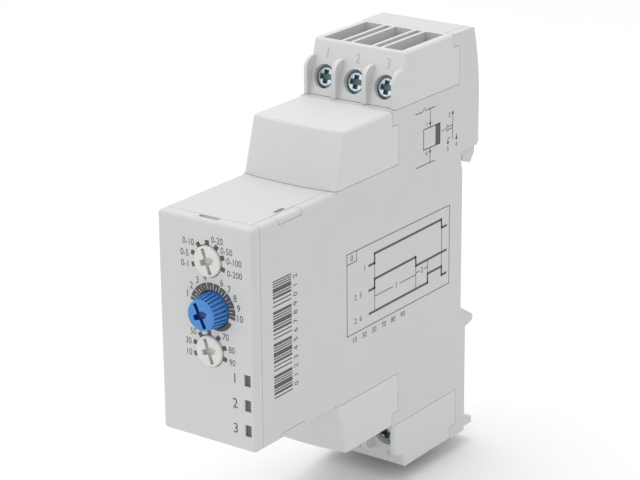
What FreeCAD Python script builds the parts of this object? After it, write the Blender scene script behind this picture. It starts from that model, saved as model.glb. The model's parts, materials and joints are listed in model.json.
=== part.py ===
"""DIN rail timer relay in a 22.5 mm wide stepped housing, as an assembly of separate pieces.

Frame: the origin is the centre of the face that rests on the rail. +Z is up, +Y points at the
rail and the wall behind it, and X runs across the 22.5 mm width. All lengths are in millimetres.
"""
import FreeCAD, Part

import math
import os

import Sketcher

SIZES = {
    # overall form
    "module_width": 22.5,
    "overall_height": 90.0,
    "front_height": 45.0,
    "cap_height": 11.0,
    "front_reach": 72.5,
    "wall": 1.6,
    "seam": 0.1,
    "edge_round": 0.8,
    "bite": 0.3,
    "over": 1.0,
    # case outline, as distances in front of the rail seat
    "step_foot": 45.5,
    "step_lean": 3.4,
    "step_bow": 1.0,
    "step_rear": 26.1,
    "step_tuck": 23.9,
    "step_notch": 3.0,
    "step_round": 0.9,
    "cap_rear": 3.8,
    "cap_tuck": 1.6,
    "cap_notch": 2.7,
    "cap_bevel": 0.35,
    # back of the case
    "back_top": 4.0,
    "back_reach": 6.1,
    "back_arc_rise": 15.0,
    "back_thickness": 1.6,
    "back_round": 0.5,
    "back_chamfer": 0.6,
    "hook_block": 1.4,
    "foot_back": 1.9,
    "seat_margin": 0.3,
    "foot_slope": 3.4,
    "shelf_rise": 3.0,
    "shelf_slope": 2.0,
    # rail and the fixed hook that takes its upper lip
    "rail_width": 35.0,
    "rail_lip": 1.0,
    "rail_play": 0.4,
    "hook_gap": 0.4,
    "hook_grip": 0.9,
    "hook_inset": 0.9,
    "hook_drop": 2.5,
    "hook_neck": 4.4,
    "hook_rise": 2.1,
    "hook_set": 0.1,
    "seat_relief": 0.5,
    "relief_end": 1.5,
    "relief_slope": 1.4,
    # side cover
    "cover_plate": 1.9,
    "latch_setback": 8.4,
    "latch_length": 7.2,
    "latch_height": 1.2,
    "latch_slot_length": 3.0,
    "latch_slot_width": 0.9,
    "latch_slot_start": 2.4,
    "latch_slot_edge": 0.4,
    "latch_line": 0.25,
    # front panel
    "panel_thickness": 2.5,
    "panel_skirt": 3.0,
    "skirt_wall": 1.1,
    "skirt_play": 0.15,
    "pry_width": 4.7,
    "pry_depth": 1.2,
    "pry_height": 0.7,
    # setting knobs
    "dial_x": 1.7,
    "dial_drop": 9.6,
    "selector_x": 0.85,
    "range_drop": 8.0,
    "mode_drop": 8.5,
    "dial_radius": 3.1,
    "dial_base_radius": 3.6,
    "dial_proud": 4.0,
    "dial_play": 0.3,
    "dial_sink": 1.3,
    "dial_edge": 0.35,
    "dial_collar": 0.2,
    "flute_depth": 0.3,
    "flute_width": 0.45,
    "flute_start": 0.5,
    "flute_count": 24,
    "selector_radius": 3.1,
    "selector_proud": 0.6,
    "selector_play": 0.15,
    "selector_sink": 0.9,
    "selector_edge": 0.2,
    "dial_setting": 26.5,
    "selector_setting": 20.0,
    "pointer_slot": 0.8,
    "pointer_width": 1.5,
    "pointer_depth": 1.0,
    "pointer_span": 0.84,
    "pointer_tail": 0.5,
    "pointer_neck": 0.35,
    "pointer_tip": 0.62,
    "stem_radius": 1.45,
    "stem_play": 0.05,
    "stem_depth": 3.0,
    "stem_end_play": 0.2,
    "pot_side": 8.0,
    "pot_thickness": 3.8,
    "pot_gap": 0.6,
    # status windows
    "led_inset": 1.65,
    "led_rise": 14.7,
    "led_pitch": 5.15,
    "led_width": 1.5,
    "led_height": 2.4,
    "led_play": 0.05,
    "led_sink": 0.4,
    # terminal caps
    "cell_wall": 1.15,
    "terminal_tilt": 17.5,
    "terminal_foot": 24.5,
    "face_wall": 1.2,
    "entry_width": 4.4,
    "entry_rear": 5.1,
    "entry_lip": 0.6,
    "entry_depth": 4.0,
    "slot_width": 1.5,
    "slot_depth": 3.4,
    "cell_width": 5.4,
    "cell_rear": 3.3,
    "fin_width": 1.0,
    "fin_front": 25.3,
    "fin_drop": 3.3,
    "fin_round": 2.4,
    "chamber_depth": 3.8,
    "chamber_floor": 1.4,
    "chamber_front": 22.6,
    "chamber_rear": 4.2,
    # clamp screws, rising cages and contact bars
    "screw_drop": 7.2,
    "screw_radius": 1.5,
    "screw_play": 0.05,
    "head_radius": 2.2,
    "head_height": 1.7,
    "head_sink": 0.7,
    "head_play": 0.3,
    "head_edge": 0.4,
    "recess_width": 1.2,
    "recess_length": 2.9,
    "recess_depth": 0.9,
    "cage_travel": 2.0,
    "cage_width": 4.8,
    "cage_height": 5.2,
    "cage_side": 0.6,
    "cage_plate": 1.2,
    "cage_base": 1.0,
    "cage_mouth": 4.3,
    "cage_gap": 0.5,
    "bar_width": 3.0,
    "bar_thickness": 0.8,
    "bar_gap": 0.3,
    "bar_top": 3.0,
    "bar_bend": 4.2,
    "bar_tail": 2.3,
    "bar_slot_play": 0.2,
    # rail clip and its spring
    "clip_travel": 3.0,
    "claw_inset": 0.85,
    "claw_front": 0.2,
    "claw_clear": 0.4,
    "claw_nose": 0.5,
    "claw_heel": 4.0,
    "lip_gap": 0.3,
    "plate_drop": 1.6,
    "claw_grip": 1.0,
    "claw_reach": 6.2,
    "claw_drop": 2.8,
    "claw_tip": 1.2,
    "claw_depth": 4.7,
    "clip_play": 0.15,
    "flange_inset": 3.05,
    "flange_back": 0.6,
    "flange_thickness": 1.0,
    "neck_inset": 4.25,
    "neck_thickness": 1.3,
    "tab_rise": 3.6,
    "tab_lift": 0.2,
    "tab_slope": 1.9,
    "tab_step": 2.4,
    "tab_dip": 1.5,
    "tab_slot_shift": 0.3,
    "tab_slot_width": 6.0,
    "tab_slot_depth": 1.6,
    "spring_room": 12.0,
    "window_width": 2.8,
    "spring_drop": 8.0,
    "peg_inset": 0.3,
    "spring_seat": 1.4,
    "spring_radius": 0.95,
    "spring_wire": 0.36,
    "spring_turns": 8,
    "spring_play": 0.05,
    # circuit boards and what they carry
    "board_thickness": 1.6,
    "board_inset": 3.0,
    "board_rear": 6.0,
    "board_clear": 0.5,
    "panel_board_inset": 2.3,
    "boss_side": 3.6,
    "boss_z": 16.0,
    "boss_inset": 6.0,
    "boss_height": 1.6,
    "block_bevel": 0.5,
    "relay_length": 28.0,
    "relay_width": 12.5,
    "relay_clear": 0.8,
    "relay_rear": 9.5,
    "relay_top": -3.5,
    "reservoir_radius": 5.0,
    "reservoir_height": 12.5,
    "reservoir_gap": 13.0,
    "reservoir_rise": 9.5,
    "film_length": 13.0,
    "film_width": 7.0,
    "film_height": 11.0,
    "film_gap": 5.0,
    "film_z": 2.5,
    "choke_length": 20.0,
    "choke_width": 13.0,
    "choke_height": 12.0,
    "choke_front": 36.0,
    "choke_z": 3.0,
}


class Size:
    """A length that knows its value in millimetres and its text as a spreadsheet expression."""

    def __init__(self, value, text):
        self.value = float(value)
        self.text = text

    def __add__(self, other):
        other = size(other)
        return Size(self.value + other.value, f"({self.text} + {other.text})")

    def __sub__(self, other):
        other = size(other)
        return Size(self.value - other.value, f"({self.text} - {other.text})")

    def __mul__(self, other):
        other = size(other)
        return Size(self.value * other.value, f"({self.text} * {other.text})")

    def __truediv__(self, other):
        other = size(other)
        return Size(self.value / other.value, f"({self.text} / {other.text})")

    def __radd__(self, other):
        return size(other) + self

    def __rsub__(self, other):
        return size(other) - self

    def __rmul__(self, other):
        return size(other) * self

    def __neg__(self):
        return Size(-self.value, f"(-{self.text})")


def size(number):
    """Makes a plain number into a Size."""
    if isinstance(number, Size):
        return number
    return Size(number, f"({number})")


def fill_sheet(doc):
    """Writes the driving dimensions to a spreadsheet and returns a Size for each alias."""
    sheet = doc.addObject("Spreadsheet::Sheet", "Sizes")
    for row, (alias, value) in enumerate(SIZES.items(), start=1):
        sheet.set(f"A{row}", alias)
        sheet.set(f"B{row}", str(value))
        sheet.setAlias(f"B{row}", alias)
    doc.recompute()
    return {alias: Size(sheet.get(alias), f"Sizes.{alias}") for alias in SIZES}


DOC = FreeCAD.newDocument("din_rail_timer")
S = fill_sheet(DOC)


def sine(angle):
    """Sine of a Size in degrees."""
    return Size(math.sin(math.radians(angle.value)), f"sin({angle.text} * 1 deg)")


def root(area):
    """Square root of a Size."""
    return Size(math.sqrt(area.value), f"sqrt({area.text})")


def cosine(angle):
    """Cosine of a Size in degrees."""
    return Size(math.cos(math.radians(angle.value)), f"cos({angle.text} * 1 deg)")


# ---- sketches and features -------------------------------------------------------------------

NEAR = 1e-4
STEPS_PER_TURN = 10
WIRE_SIDES = 5
BOW_FLATS = 6
PLANE_ROLE = {"YZ": "YZ_Plane", "XZ": "XZ_Plane", "XY": "XY_Plane"}


def new_body(label):
    """A PartDesign body whose Label names the piece and its file."""
    body = DOC.addObject("PartDesign::Body", label)
    body.Label = label
    return body


def outline(sketch, corners):
    """Draws a closed outline. A corner is (a, b), or (a, b, radius) where an arc leaves it.

    A positive radius bulges to the right of the way to the next corner, a negative one to the left.
    """
    first = sketch.GeometryCount
    points = [FreeCAD.Vector(size(c[0]).value, size(c[1]).value, 0) for c in corners]
    for index, corner in enumerate(corners):
        start, end = points[index], points[(index + 1) % len(points)]
        if len(corner) == 3:
            sketch.addGeometry(arc_between(start, end, size(corner[2]).value), False)
        else:
            sketch.addGeometry(Part.LineSegment(start, end), False)
    ends = [ends_of(sketch, first + index, point) for index, point in enumerate(points)]
    for index, corner in enumerate(corners):
        this, after = index, (index + 1) % len(corners)
        leaving, arriving = ends[this][1], ends[after][0]
        joined = Sketcher.Constraint("Coincident", first + this, leaving, first + after, arriving)
        sketch.addConstraint(joined)
        fix(sketch, "DistanceX", first + this, ends[this][0], size(corner[0]))
        fix(sketch, "DistanceY", first + this, ends[this][0], size(corner[1]))
        if len(corner) == 3:
            radius = size(corner[2])
            rule = sketch.addConstraint(Sketcher.Constraint("Radius", first + this, abs(radius.value)))
            bind(sketch, f"Constraints[{rule}]", Size(abs(radius.value), f"abs({radius.text})"))


def arc_between(start, end, radius):
    """The shorter arc from start to end, bulging right of the way when radius is positive."""
    chord = end - start
    right = FreeCAD.Vector(chord.y, -chord.x, 0)
    right.normalize()
    side = 1.0 if radius > 0 else -1.0
    reach = math.sqrt(radius * radius - chord.Length * chord.Length / 4.0)
    centre = (start + end) * 0.5 - right * (side * reach)
    whole = Part.Circle(centre, FreeCAD.Vector(0, 0, 1), abs(radius))
    first, last = (start, end) if side > 0 else (end, start)
    angles = [math.atan2(point.y - centre.y, point.x - centre.x) for point in (first, last)]
    if angles[1] < angles[0]:
        angles[1] += 2 * math.pi
    return Part.ArcOfCircle(whole, angles[0], angles[1])


def ends_of(sketch, index, start):
    """The point numbers (start, end) of an edge, with start at the given place."""
    edge = sketch.Geometry[index]
    if edge.StartPoint.distanceToPoint(start) < edge.EndPoint.distanceToPoint(start):
        return 1, 2
    return 2, 1


def fix(sketch, kind, index, point, place):
    """Holds one coordinate of an edge's end at a Size."""
    rule = sketch.addConstraint(Sketcher.Constraint(kind, -1, 1, index, point, place.value))
    bind(sketch, f"Constraints[{rule}]", place)


def circle(sketch, x, y, radius):
    """Draws a circle held by its centre and radius."""
    x, y, radius = size(x), size(y), size(radius)
    centre = FreeCAD.Vector(x.value, y.value, 0)
    index = sketch.addGeometry(Part.Circle(centre, FreeCAD.Vector(0, 0, 1), radius.value), False)
    fix(sketch, "DistanceX", index, 3, x)
    fix(sketch, "DistanceY", index, 3, y)
    rule = sketch.addConstraint(Sketcher.Constraint("Radius", index, radius.value))
    bind(sketch, f"Constraints[{rule}]", radius)


def bind(item, path, value):
    """Binds a property to a Size by its expression."""
    item.setExpression(path, value.text)


def box_outline(low_a, high_a, low_b, high_b):
    """The four corners of a rectangle."""
    return [(low_a, low_b), (high_a, low_b), (high_a, high_b), (low_a, high_b)]


def add_sketch(body, plane, loops, offset, tilt=None, lift=None):
    """A sketch on one of the body's origin planes, moved along its normal by offset."""
    sketch = body.newObject("Sketcher::SketchObject", f"{body.Label}_sketch")
    origin_planes = {feature.Role: feature for feature in body.Origin.OriginFeatures}
    sketch.AttachmentSupport = [(origin_planes[PLANE_ROLE[plane]], "")]
    sketch.MapMode = "FlatFace"
    if tilt is not None:
        turned = FreeCAD.Rotation(FreeCAD.Vector(1, 0, 0), tilt.value)
        sketch.AttachmentOffset = FreeCAD.Placement(FreeCAD.Vector(0, 0, 0), turned)
        bind(sketch, ".AttachmentOffset.Rotation.Angle", tilt)
    if lift is not None:
        bind(sketch, ".AttachmentOffset.Base.y", lift)
    bind(sketch, ".AttachmentOffset.Base.z", offset)
    for loop in loops:
        if loop[0] == "circle":
            circle(sketch, *loop[1:])
        else:
            outline(sketch, loop)
    DOC.recompute()
    return sketch


def pad(body, plane, loops, low, high):
    """Adds material between two places on the plane's normal axis (X for YZ, Y for XZ, Z for XY)."""
    low, high = size(low), size(high)
    sketch = add_sketch(body, plane, loops, -high if plane == "XZ" else low)
    feature = body.newObject("PartDesign::Pad", f"{body.Label}_pad")
    feature.Profile = sketch
    bind(feature, "Length", high - low)
    DOC.recompute()
    return feature


def cut(body, plane, loops, low, high):
    """Removes material between two places on the plane's normal axis."""
    low, high = size(low), size(high)
    sketch = add_sketch(body, plane, loops, -low if plane == "XZ" else high)
    return pocket(body, sketch, high - low)


def pocket(body, sketch, depth):
    """Pockets a sketch, and stops if nothing was removed."""
    before = body.Shape.Volume
    feature = body.newObject("PartDesign::Pocket", f"{body.Label}_pocket")
    feature.Profile = sketch
    bind(feature, "Length", depth)
    DOC.recompute()
    if body.Shape.Volume > before - 1e-6:
        raise RuntimeError(f"{body.Label}: {feature.Name} removes nothing")
    return feature


def turn(body, loops):
    """Revolves outlines drawn in the XY plane about the body's Y axis."""
    sketch = add_sketch(body, "XY", loops, size(0))
    feature = body.newObject("PartDesign::Revolution", f"{body.Label}_turned")
    feature.Profile = sketch
    feature.ReferenceAxis = (sketch, ["V_Axis"])
    feature.Angle = 360.0
    DOC.recompute()
    return feature


def round_edges(body, radius, wanted):
    """Fillets the edges of the tip that wanted(edge) picks."""
    return dress_edges(body, "PartDesign::Fillet", "Radius", radius, wanted)


def dress_edges(body, kind, measure, amount, wanted):
    """Adds a fillet or chamfer to the edges of the tip that wanted(edge) picks."""
    tip = body.Tip
    picked = [f"Edge{n}" for n, edge in enumerate(tip.Shape.Edges, start=1) if wanted(edge)]
    if not picked:
        raise RuntimeError(f"{body.Label}: no edge to dress")
    feature = body.newObject(kind, f"{body.Label}_edges")
    feature.Base = (tip, picked)
    bind(feature, measure, size(amount))
    DOC.recompute()
    return feature


def bevel_edges(body, width, wanted):
    """Chamfers the edges of the tip that wanted(edge) picks."""
    return dress_edges(body, "PartDesign::Chamfer", "Size", width, wanted)


def upside_down(body):
    """Turns a body half a turn about Y, which carries an upper piece to its lower place."""
    half_turn = FreeCAD.Rotation(FreeCAD.Vector(0, 1, 0), 180)
    body.Placement = FreeCAD.Placement(FreeCAD.Vector(0, 0, 0), half_turn)


# ---- places worked out from the sizes --------------------------------------------------------

half_width = S["module_width"] / 2
half_front = S["front_height"] / 2
half_height = S["overall_height"] / 2
half_step = half_height - S["cap_height"]
case_front = -(S["front_reach"] - S["panel_thickness"])
step_shoulder = half_step - S["step_notch"]
cap_shoulder = half_height - S["cap_notch"]
cover_inner = half_width - S["cover_plate"]
shell_side = cover_inner - S["seam"]
hook_side = half_width - S["hook_inset"]
terminal_pitch = half_width - S["cell_wall"] - S["cell_width"] / 2
chamber_side = terminal_pitch + S["cell_width"] / 2
chamber_base = half_step - S["chamber_depth"]
cavity_top = chamber_base - S["chamber_floor"]
back_arc_start = half_height - S["back_arc_rise"]
back_sag = S["back_reach"] - S["back_top"]
back_radius = (S["back_arc_rise"] * S["back_arc_rise"] + back_sag * back_sag) / (2 * back_sag)
rail_top = S["rail_width"] / 2 + S["rail_play"]
ceiling = rail_top + S["hook_block"]
hook_front = S["rail_lip"] + S["hook_gap"]
claw_top = S["rail_width"] / 2 - S["claw_grip"]
seat_bottom = claw_top - S["seat_margin"]
foot_start = seat_bottom + S["foot_slope"]

latch_front = S["front_reach"] - S["latch_setback"]
range_z = half_front - S["range_drop"]
dial_z = range_z - S["dial_drop"]
mode_z = dial_z - S["mode_drop"]
led_x = half_width - S["led_inset"]
claw_width = 2 * (half_width - S["claw_inset"])
flange_width = 2 * (half_width - S["flange_inset"])
neck_width = 2 * (half_width - S["neck_inset"])
tab_top = half_height - S["tab_rise"]
tab_bottom = half_height - S["tab_lift"]
spring_foot = half_height - S["spring_drop"]
window_top = spring_foot - S["spring_room"]
fin_top = half_height - S["fin_drop"]
screw_height = half_height - S["screw_drop"]
bar_end = cavity_top - S["bar_tail"]

# the screw axis leaves the sloped face at this point; s runs inwards along it and t up the face
tan_tilt = sine(S["terminal_tilt"]) / cosine(S["terminal_tilt"])
face_top = -S["terminal_foot"] + (half_height - half_step) * tan_tilt
screw_y = -S["terminal_foot"] + (screw_height - half_step) * tan_tilt
head_under = S["head_sink"] + S["head_height"]
cage_closed = head_under + S["cage_gap"]
cage_start = cage_closed + S["cage_travel"]
bar_front = cage_start + S["cage_plate"] + S["bar_gap"]
screw_tip = cage_start + S["cage_plate"]
cage_end = cage_start + S["cage_plate"] + S["cage_mouth"] + S["cage_base"]

board_left = -half_width + S["wall"] + S["boss_height"]
board_right = board_left + S["board_thickness"]
knob_stem_end = case_front + S["pot_gap"] + S["stem_depth"]
pot_front = case_front + S["pot_gap"]
panel_board_front = pot_front + S["pot_thickness"]
panel_board_back = panel_board_front + S["board_thickness"]
board_height = S["front_height"] - 2 * S["board_inset"]
panel_board_height = S["front_height"] - 2 * S["panel_board_inset"]
relay_height = cover_inner - S["relay_clear"] - board_right
film_front = -panel_board_back - S["film_gap"]
reservoir_y = -panel_board_back - S["reservoir_gap"]


def along_screw(inwards, up):
    """The (y, z) of a point in the upper terminals, from its place along the screw and up the face."""
    inwards, up = size(inwards), size(up)
    y = screw_y + inwards * cosine(S["terminal_tilt"]) + up * sine(S["terminal_tilt"])
    z = screw_height - inwards * sine(S["terminal_tilt"]) + up * cosine(S["terminal_tilt"])
    return y, z


def terminal_centres():
    """The X places of the three terminals of a cap."""
    return [-terminal_pitch, size(0), size(terminal_pitch)]


# ---- case ------------------------------------------------------------------------------------


def case_side():
    """The side view of the case without its caps, front panel, hook and clip."""
    upper = [
        (case_front, half_front),
        (-S["step_tuck"], half_front),
        (-S["step_tuck"], step_shoulder),
        (-S["step_rear"], step_shoulder),
        (-S["step_rear"], half_step),
        (-S["cap_tuck"], half_step),
        (-S["cap_tuck"], cap_shoulder),
        (-S["cap_rear"], cap_shoulder),
        (-S["cap_rear"], half_height),
    ]
    lower = [(y, -z) for y, z in reversed(upper)]
    back = [
        (S["back_top"] - S["back_round"], half_height, -S["back_round"]),
        (S["back_top"], half_height - S["back_round"], -back_radius),
        (S["back_reach"], back_arc_start),
        (S["back_reach"], ceiling + S["back_chamfer"]),
        (S["back_reach"] - S["back_chamfer"], ceiling),
        (-S["seat_relief"], ceiling),
        (-S["seat_relief"], rail_top - S["relief_end"]),
        (0, rail_top - S["relief_end"] - S["relief_slope"]),
        (0, -seat_bottom),
        (S["foot_back"], -foot_start),
        (S["foot_back"], -half_height + S["back_round"], -S["back_round"]),
        (S["foot_back"] - S["back_round"], -half_height),
    ]
    return upper + back + lower


def hook_side_view():
    """The fixed hook behind the rail's upper lip, with the block above it."""
    tip = rail_top - S["hook_drop"]
    rear = S["back_reach"] - S["hook_set"]
    return [
        (-S["seat_relief"] - S["bite"], ceiling + S["back_chamfer"]),
        (-S["seat_relief"] - S["bite"], rail_top),
        (hook_front, rail_top),
        (hook_front, rail_top - S["rail_play"] - S["hook_grip"]),
        (S["hook_neck"], tip),
        (rear, tip + S["hook_rise"]),
        (rear, ceiling + S["back_chamfer"]),
    ]


def cavity_side():
    """The room inside the case, with the strip behind the upper terminals."""
    wall, back = S["wall"], S["back_thickness"]
    rear = -S["flange_back"] - S["clip_play"] - wall
    shelf = -seat_bottom + S["shelf_rise"]
    return [
        (case_front - S["over"], half_front - wall),
        (-S["step_tuck"] + wall, half_front - wall),
        (-S["step_tuck"] + wall, cavity_top),
        (-S["cap_tuck"] + wall, cavity_top),
        (-S["cap_tuck"] + wall, half_height - wall),
        (S["back_top"] - back, half_height - wall),
        (S["back_reach"] - back, back_arc_start),
        (S["back_reach"] - back, ceiling + wall),
        (-S["seat_relief"] - wall, ceiling + wall),
        (-S["seat_relief"] - wall, shelf),
        (rear, shelf - S["shelf_slope"]),
        (rear, -cavity_top),
        (-S["step_tuck"] + wall, -cavity_top),
        (-S["step_tuck"] + wall, -half_front + wall),
        (case_front - S["over"], -half_front + wall),
    ]


def chamber_sides():
    """The two chambers that the clamp cages move in, open to the terminal caps."""
    upper = box_outline(-S["chamber_front"], -S["chamber_rear"], chamber_base, half_step + S["over"])
    lower = box_outline(-S["chamber_front"], -S["chamber_rear"], -half_step - S["over"], -chamber_base)
    return [upper, lower]


def claw_room():
    """The cut-back behind the seat that the clip's claw slides in."""
    front = S["claw_front"] - S["clip_play"]
    floor = -claw_top - S["claw_depth"] - S["clip_travel"] - S["claw_clear"]
    return box_outline(front, S["foot_back"] + S["over"], floor, -claw_top + S["clip_play"])


def round_flanks(body):
    """Rounds the long edges of the flanks between the front panel and the step caps."""
    radius, over = S["edge_round"], S["over"]
    loops = []
    for side in (1, -1):
        for end in (1, -1):
            loops.append([
                (side * half_width, end * (half_front - radius), side * end * radius),
                (side * (half_width - radius), end * half_front),
                (side * (half_width - radius), end * (half_front + over)),
                (side * (half_width + over), end * (half_front + over)),
                (side * (half_width + over), end * (half_front - radius)),
            ])
    cut(body, "XZ", loops, case_front - over, -S["step_foot"])


def add_hook(body, low, high):
    """Adds the rail hook across a stretch of the width."""
    pad(body, "YZ", [hook_side_view()], low, high)


def make_housing():
    """The moulded tub: left wall, rims, terminal chambers, rail seat and clip channel."""
    body = new_body("housing")
    pad(body, "YZ", [case_side()], -half_width, shell_side)
    add_hook(body, -hook_side, shell_side)
    cut(body, "YZ", [cavity_side()], -half_width + S["wall"], shell_side + S["over"])
    cut(body, "YZ", chamber_sides(), -chamber_side, shell_side + S["over"])
    for sign in (1, -1):
        cut_bar_slots(body, sign)
        add_cover_latch(body, sign)
    round_flanks(body)
    cut_clip_channel(body)
    add_board_bosses(body)
    return body


def cut_bar_slots(body, sign):
    """Slots in a chamber's floor for the legs of the contact bars."""
    leg_y = along_screw(bar_front, -S["bar_bend"])[0]
    play = S["bar_slot_play"]
    leg = S["bar_thickness"] * cosine(S["terminal_tilt"])
    half = S["bar_width"] / 2 + play
    loops = [
        box_outline(x - half, x + half, leg_y - play, leg_y + leg + play) for x in terminal_centres()
    ]
    low, high = cavity_top - S["over"], chamber_base + S["over"]
    if sign > 0:
        cut(body, "XY", loops, low, high)
    else:
        cut(body, "XY", loops, -high, -low)


def add_cover_latch(body, sign):
    """The tongue that hooks over the side cover's edge, its seam line and its release slot."""
    front, rear = -latch_front, -latch_front + S["latch_length"]
    top, bottom = half_front, half_front - S["latch_height"]
    tongue = box_outline(front, rear, bottom, top)
    seam = box_outline(front - S["seam"], rear + S["seam"], top - S["latch_line"], top + S["over"])
    slot_front = front + S["latch_slot_start"]
    slot_z = (top - S["wall"] - S["over"], top + S["over"])
    if sign < 0:
        tongue = [(y, -z) for y, z in reversed(tongue)]
        seam = [(y, -z) for y, z in reversed(seam)]
        slot_z = (-slot_z[1], -slot_z[0])
    pad(body, "YZ", [tongue], shell_side - S["bite"], half_width)
    cut(body, "YZ", [seam], cover_inner - 2 * S["seam"], cover_inner)
    slot_right = shell_side - S["latch_slot_edge"]
    slot_rear = slot_front + S["latch_slot_length"]
    slot = box_outline(slot_right - S["latch_slot_width"], slot_right, slot_front, slot_rear)
    cut(body, "XY", [slot], *slot_z)


def cut_clip_channel(body):
    """The T-shaped channel for the rail clip, open at the foot, with the peg under its spring."""
    play = S["clip_play"]
    below, above = -half_height - S["over"], -claw_top + play
    behind = S["foot_back"] + S["over"]
    wide = flange_width / 2 + play
    narrow = neck_width / 2 + play
    flange_front = -S["flange_back"] - play
    flange_rear = -S["flange_back"] + S["flange_thickness"] + play
    cut(body, "XY", [box_outline(-wide, wide, flange_front, flange_rear)], below, above)
    cut(body, "XY", [box_outline(-narrow, narrow, flange_rear - S["seam"], behind)], below, above)
    cut(body, "YZ", [claw_room()], -claw_width / 2 - play, shell_side + S["over"])
    peg = S["window_width"] / 2 - play
    peg_low = -spring_foot - S["spring_seat"]
    peg_view = box_outline(-peg, peg, flange_front - S["bite"], S["foot_back"] - S["peg_inset"])
    pad(body, "XY", [peg_view], peg_low, -spring_foot)


def add_board_bosses(body):
    """Four bosses that carry the main board off the left wall."""
    front = panel_board_back + S["boss_inset"]
    rear = -S["board_rear"] - S["boss_inset"]
    half = S["boss_side"] / 2
    centres = [(y, z) for y in (front, rear) for z in (S["boss_z"], -S["boss_z"])]
    loops = [box_outline(y - half, y + half, z - half, z + half) for y, z in centres]
    pad(body, "YZ", loops, -half_width + S["wall"] - S["bite"], board_left)


def make_side_cover():
    """The right wall, snapped under the two latch tongues."""
    body = new_body("side_cover")
    pad(body, "YZ", [case_side()], cover_inner, half_width)
    add_hook(body, cover_inner, hook_side)
    inside = cover_inner - S["over"]
    cut(body, "YZ", chamber_sides(), inside, chamber_side)
    cut(body, "YZ", [claw_room()], inside, claw_width / 2 + S["clip_play"])
    front, rear = -latch_front - S["seam"], -latch_front + S["latch_length"] + S["seam"]
    bottom = half_front - S["latch_height"] - S["seam"]
    notches = [
        box_outline(front, rear, bottom, half_front + S["over"]),
        box_outline(front, rear, -half_front - S["over"], -bottom),
    ]
    cut(body, "YZ", notches, inside, half_width + S["over"])
    round_flanks(body)
    return body


def make_front_panel():
    """The front panel with its knob openings, status windows and locating skirt."""
    body = new_body("front_panel")
    face = -S["front_reach"]
    back = case_front - S["seam"]
    pad(body, "XZ", [box_outline(-half_width, half_width, -half_front, half_front)], face, back)

    def outer(edge):
        along_y = edge.BoundBox.YLength > NEAR
        return along_y or abs(edge.BoundBox.YMax - face.value) < NEAR

    round_edges(body, S["edge_round"], outer)
    play, wall = S["skirt_play"], S["skirt_wall"]
    left, right = -half_width + S["wall"] + play, shell_side - play
    top = half_front - S["wall"] - play
    outside = box_outline(left, right, -top, top)
    inside = box_outline(left + wall, right - wall, -top + wall, top - wall)
    skirt = [outside, inside]
    pad(body, "XZ", skirt, back - S["bite"], case_front + S["panel_skirt"])
    dial_hole = S["dial_base_radius"] + S["dial_play"]
    selector_hole = S["selector_radius"] + S["selector_play"]
    holes = [
        ("circle", S["dial_x"], dial_z, dial_hole),
        ("circle", S["selector_x"], range_z, selector_hole),
        ("circle", S["selector_x"], mode_z, selector_hole),
    ]
    for z in led_places():
        half, tall = S["led_width"] / 2, S["led_height"] / 2
        holes.append(box_outline(led_x - half, led_x + half, z - tall, z + tall))
    cut(body, "XZ", holes, face - S["over"], back + S["over"])
    pry = S["pry_width"] / 2
    notch = box_outline(-pry, pry, back - S["pry_depth"], back + S["over"])
    cut(body, "XY", [notch], half_front - S["pry_height"], half_front + S["over"])
    cut(body, "XY", [notch], -half_front - S["over"], -half_front + S["pry_height"])
    return body


def led_places():
    """The heights of the three status windows."""
    return [S["led_rise"] - half_front - S["led_pitch"] * step for step in range(3)]


def make_led_window(number, z):
    """One smoked status window, set in the panel."""
    body = new_body(f"led_window_{number}")
    half, tall = S["led_width"] / 2 - S["led_play"], S["led_height"] / 2 - S["led_play"]
    face = -S["front_reach"] + S["led_sink"]
    loop = box_outline(led_x - half, led_x + half, z - tall, z + tall)
    pad(body, "XZ", [loop], face, case_front - S["seam"])
    return body


def bowed_front(front):
    """The bow of a step cap seen from above, as flats that meet on a circle."""
    bow = S["step_bow"]
    radius = (half_width * half_width + bow * bow) / (2 * bow)
    points = []
    for step in range(BOW_FLATS + 1):
        x = half_width * (2 * step / BOW_FLATS - 1)
        points.append((x, front - bow + radius - root(radius * radius - x * x)))
    return points


def make_step_cap(label):
    """The hollow cap over a step of the case, with its leaning, slightly bowed front."""
    body = new_body(label)
    low, high = half_front + S["seam"], half_step
    rise = half_step - half_front
    front = -S["step_foot"]
    inner = -S["step_foot"] + S["step_lean"] + S["step_bow"]
    front_block = bowed_front(front) + [(half_width, inner), (-half_width, inner)]
    seam = S["seam"]
    lean = pad(body, "XY", [front_block], low, high)
    lean.UseCustomVector = True
    lean.Direction = FreeCAD.Vector(0, S["step_lean"].value, rise.value)
    bind(lean, ".Direction.y", S["step_lean"])
    bind(lean, ".Direction.z", rise)
    DOC.recompute()
    joined = inner - S["bite"]
    rear = [
        (joined, low),
        (-S["step_tuck"] - seam, low),
        (-S["step_tuck"] - seam, step_shoulder - seam),
        (-S["step_rear"] - seam, step_shoulder - seam),
        (-S["step_rear"] - seam, high),
        (joined, high),
    ]
    pad(body, "YZ", [rear], -half_width, half_width)

    def outer(edge):
        box = edge.BoundBox
        on_flank = abs(abs(box.XMin + box.XMax) / 2 - half_width.value) < NEAR
        rises = on_flank and box.ZLength > rise.value - S["step_notch"].value and box.YMax < inner.value
        on_top = box.ZMin > high.value - NEAR and box.YMin < -S["step_rear"].value - seam.value - NEAR
        return rises or on_top

    round_edges(body, S["step_round"], outer)
    wall, over = S["wall"], S["over"]
    room = [
        (front + wall, low - over),
        (front + S["step_lean"] + wall, high - wall),
        (-S["step_rear"] - seam - wall, high - wall),
        (-S["step_rear"] - seam - wall, step_shoulder - wall),
        (-S["step_tuck"] - seam - wall, step_shoulder - wall),
        (-S["step_tuck"] - seam - wall, low - over),
    ]
    cut(body, "YZ", [room], -half_width + wall, half_width - wall)
    return body


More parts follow.
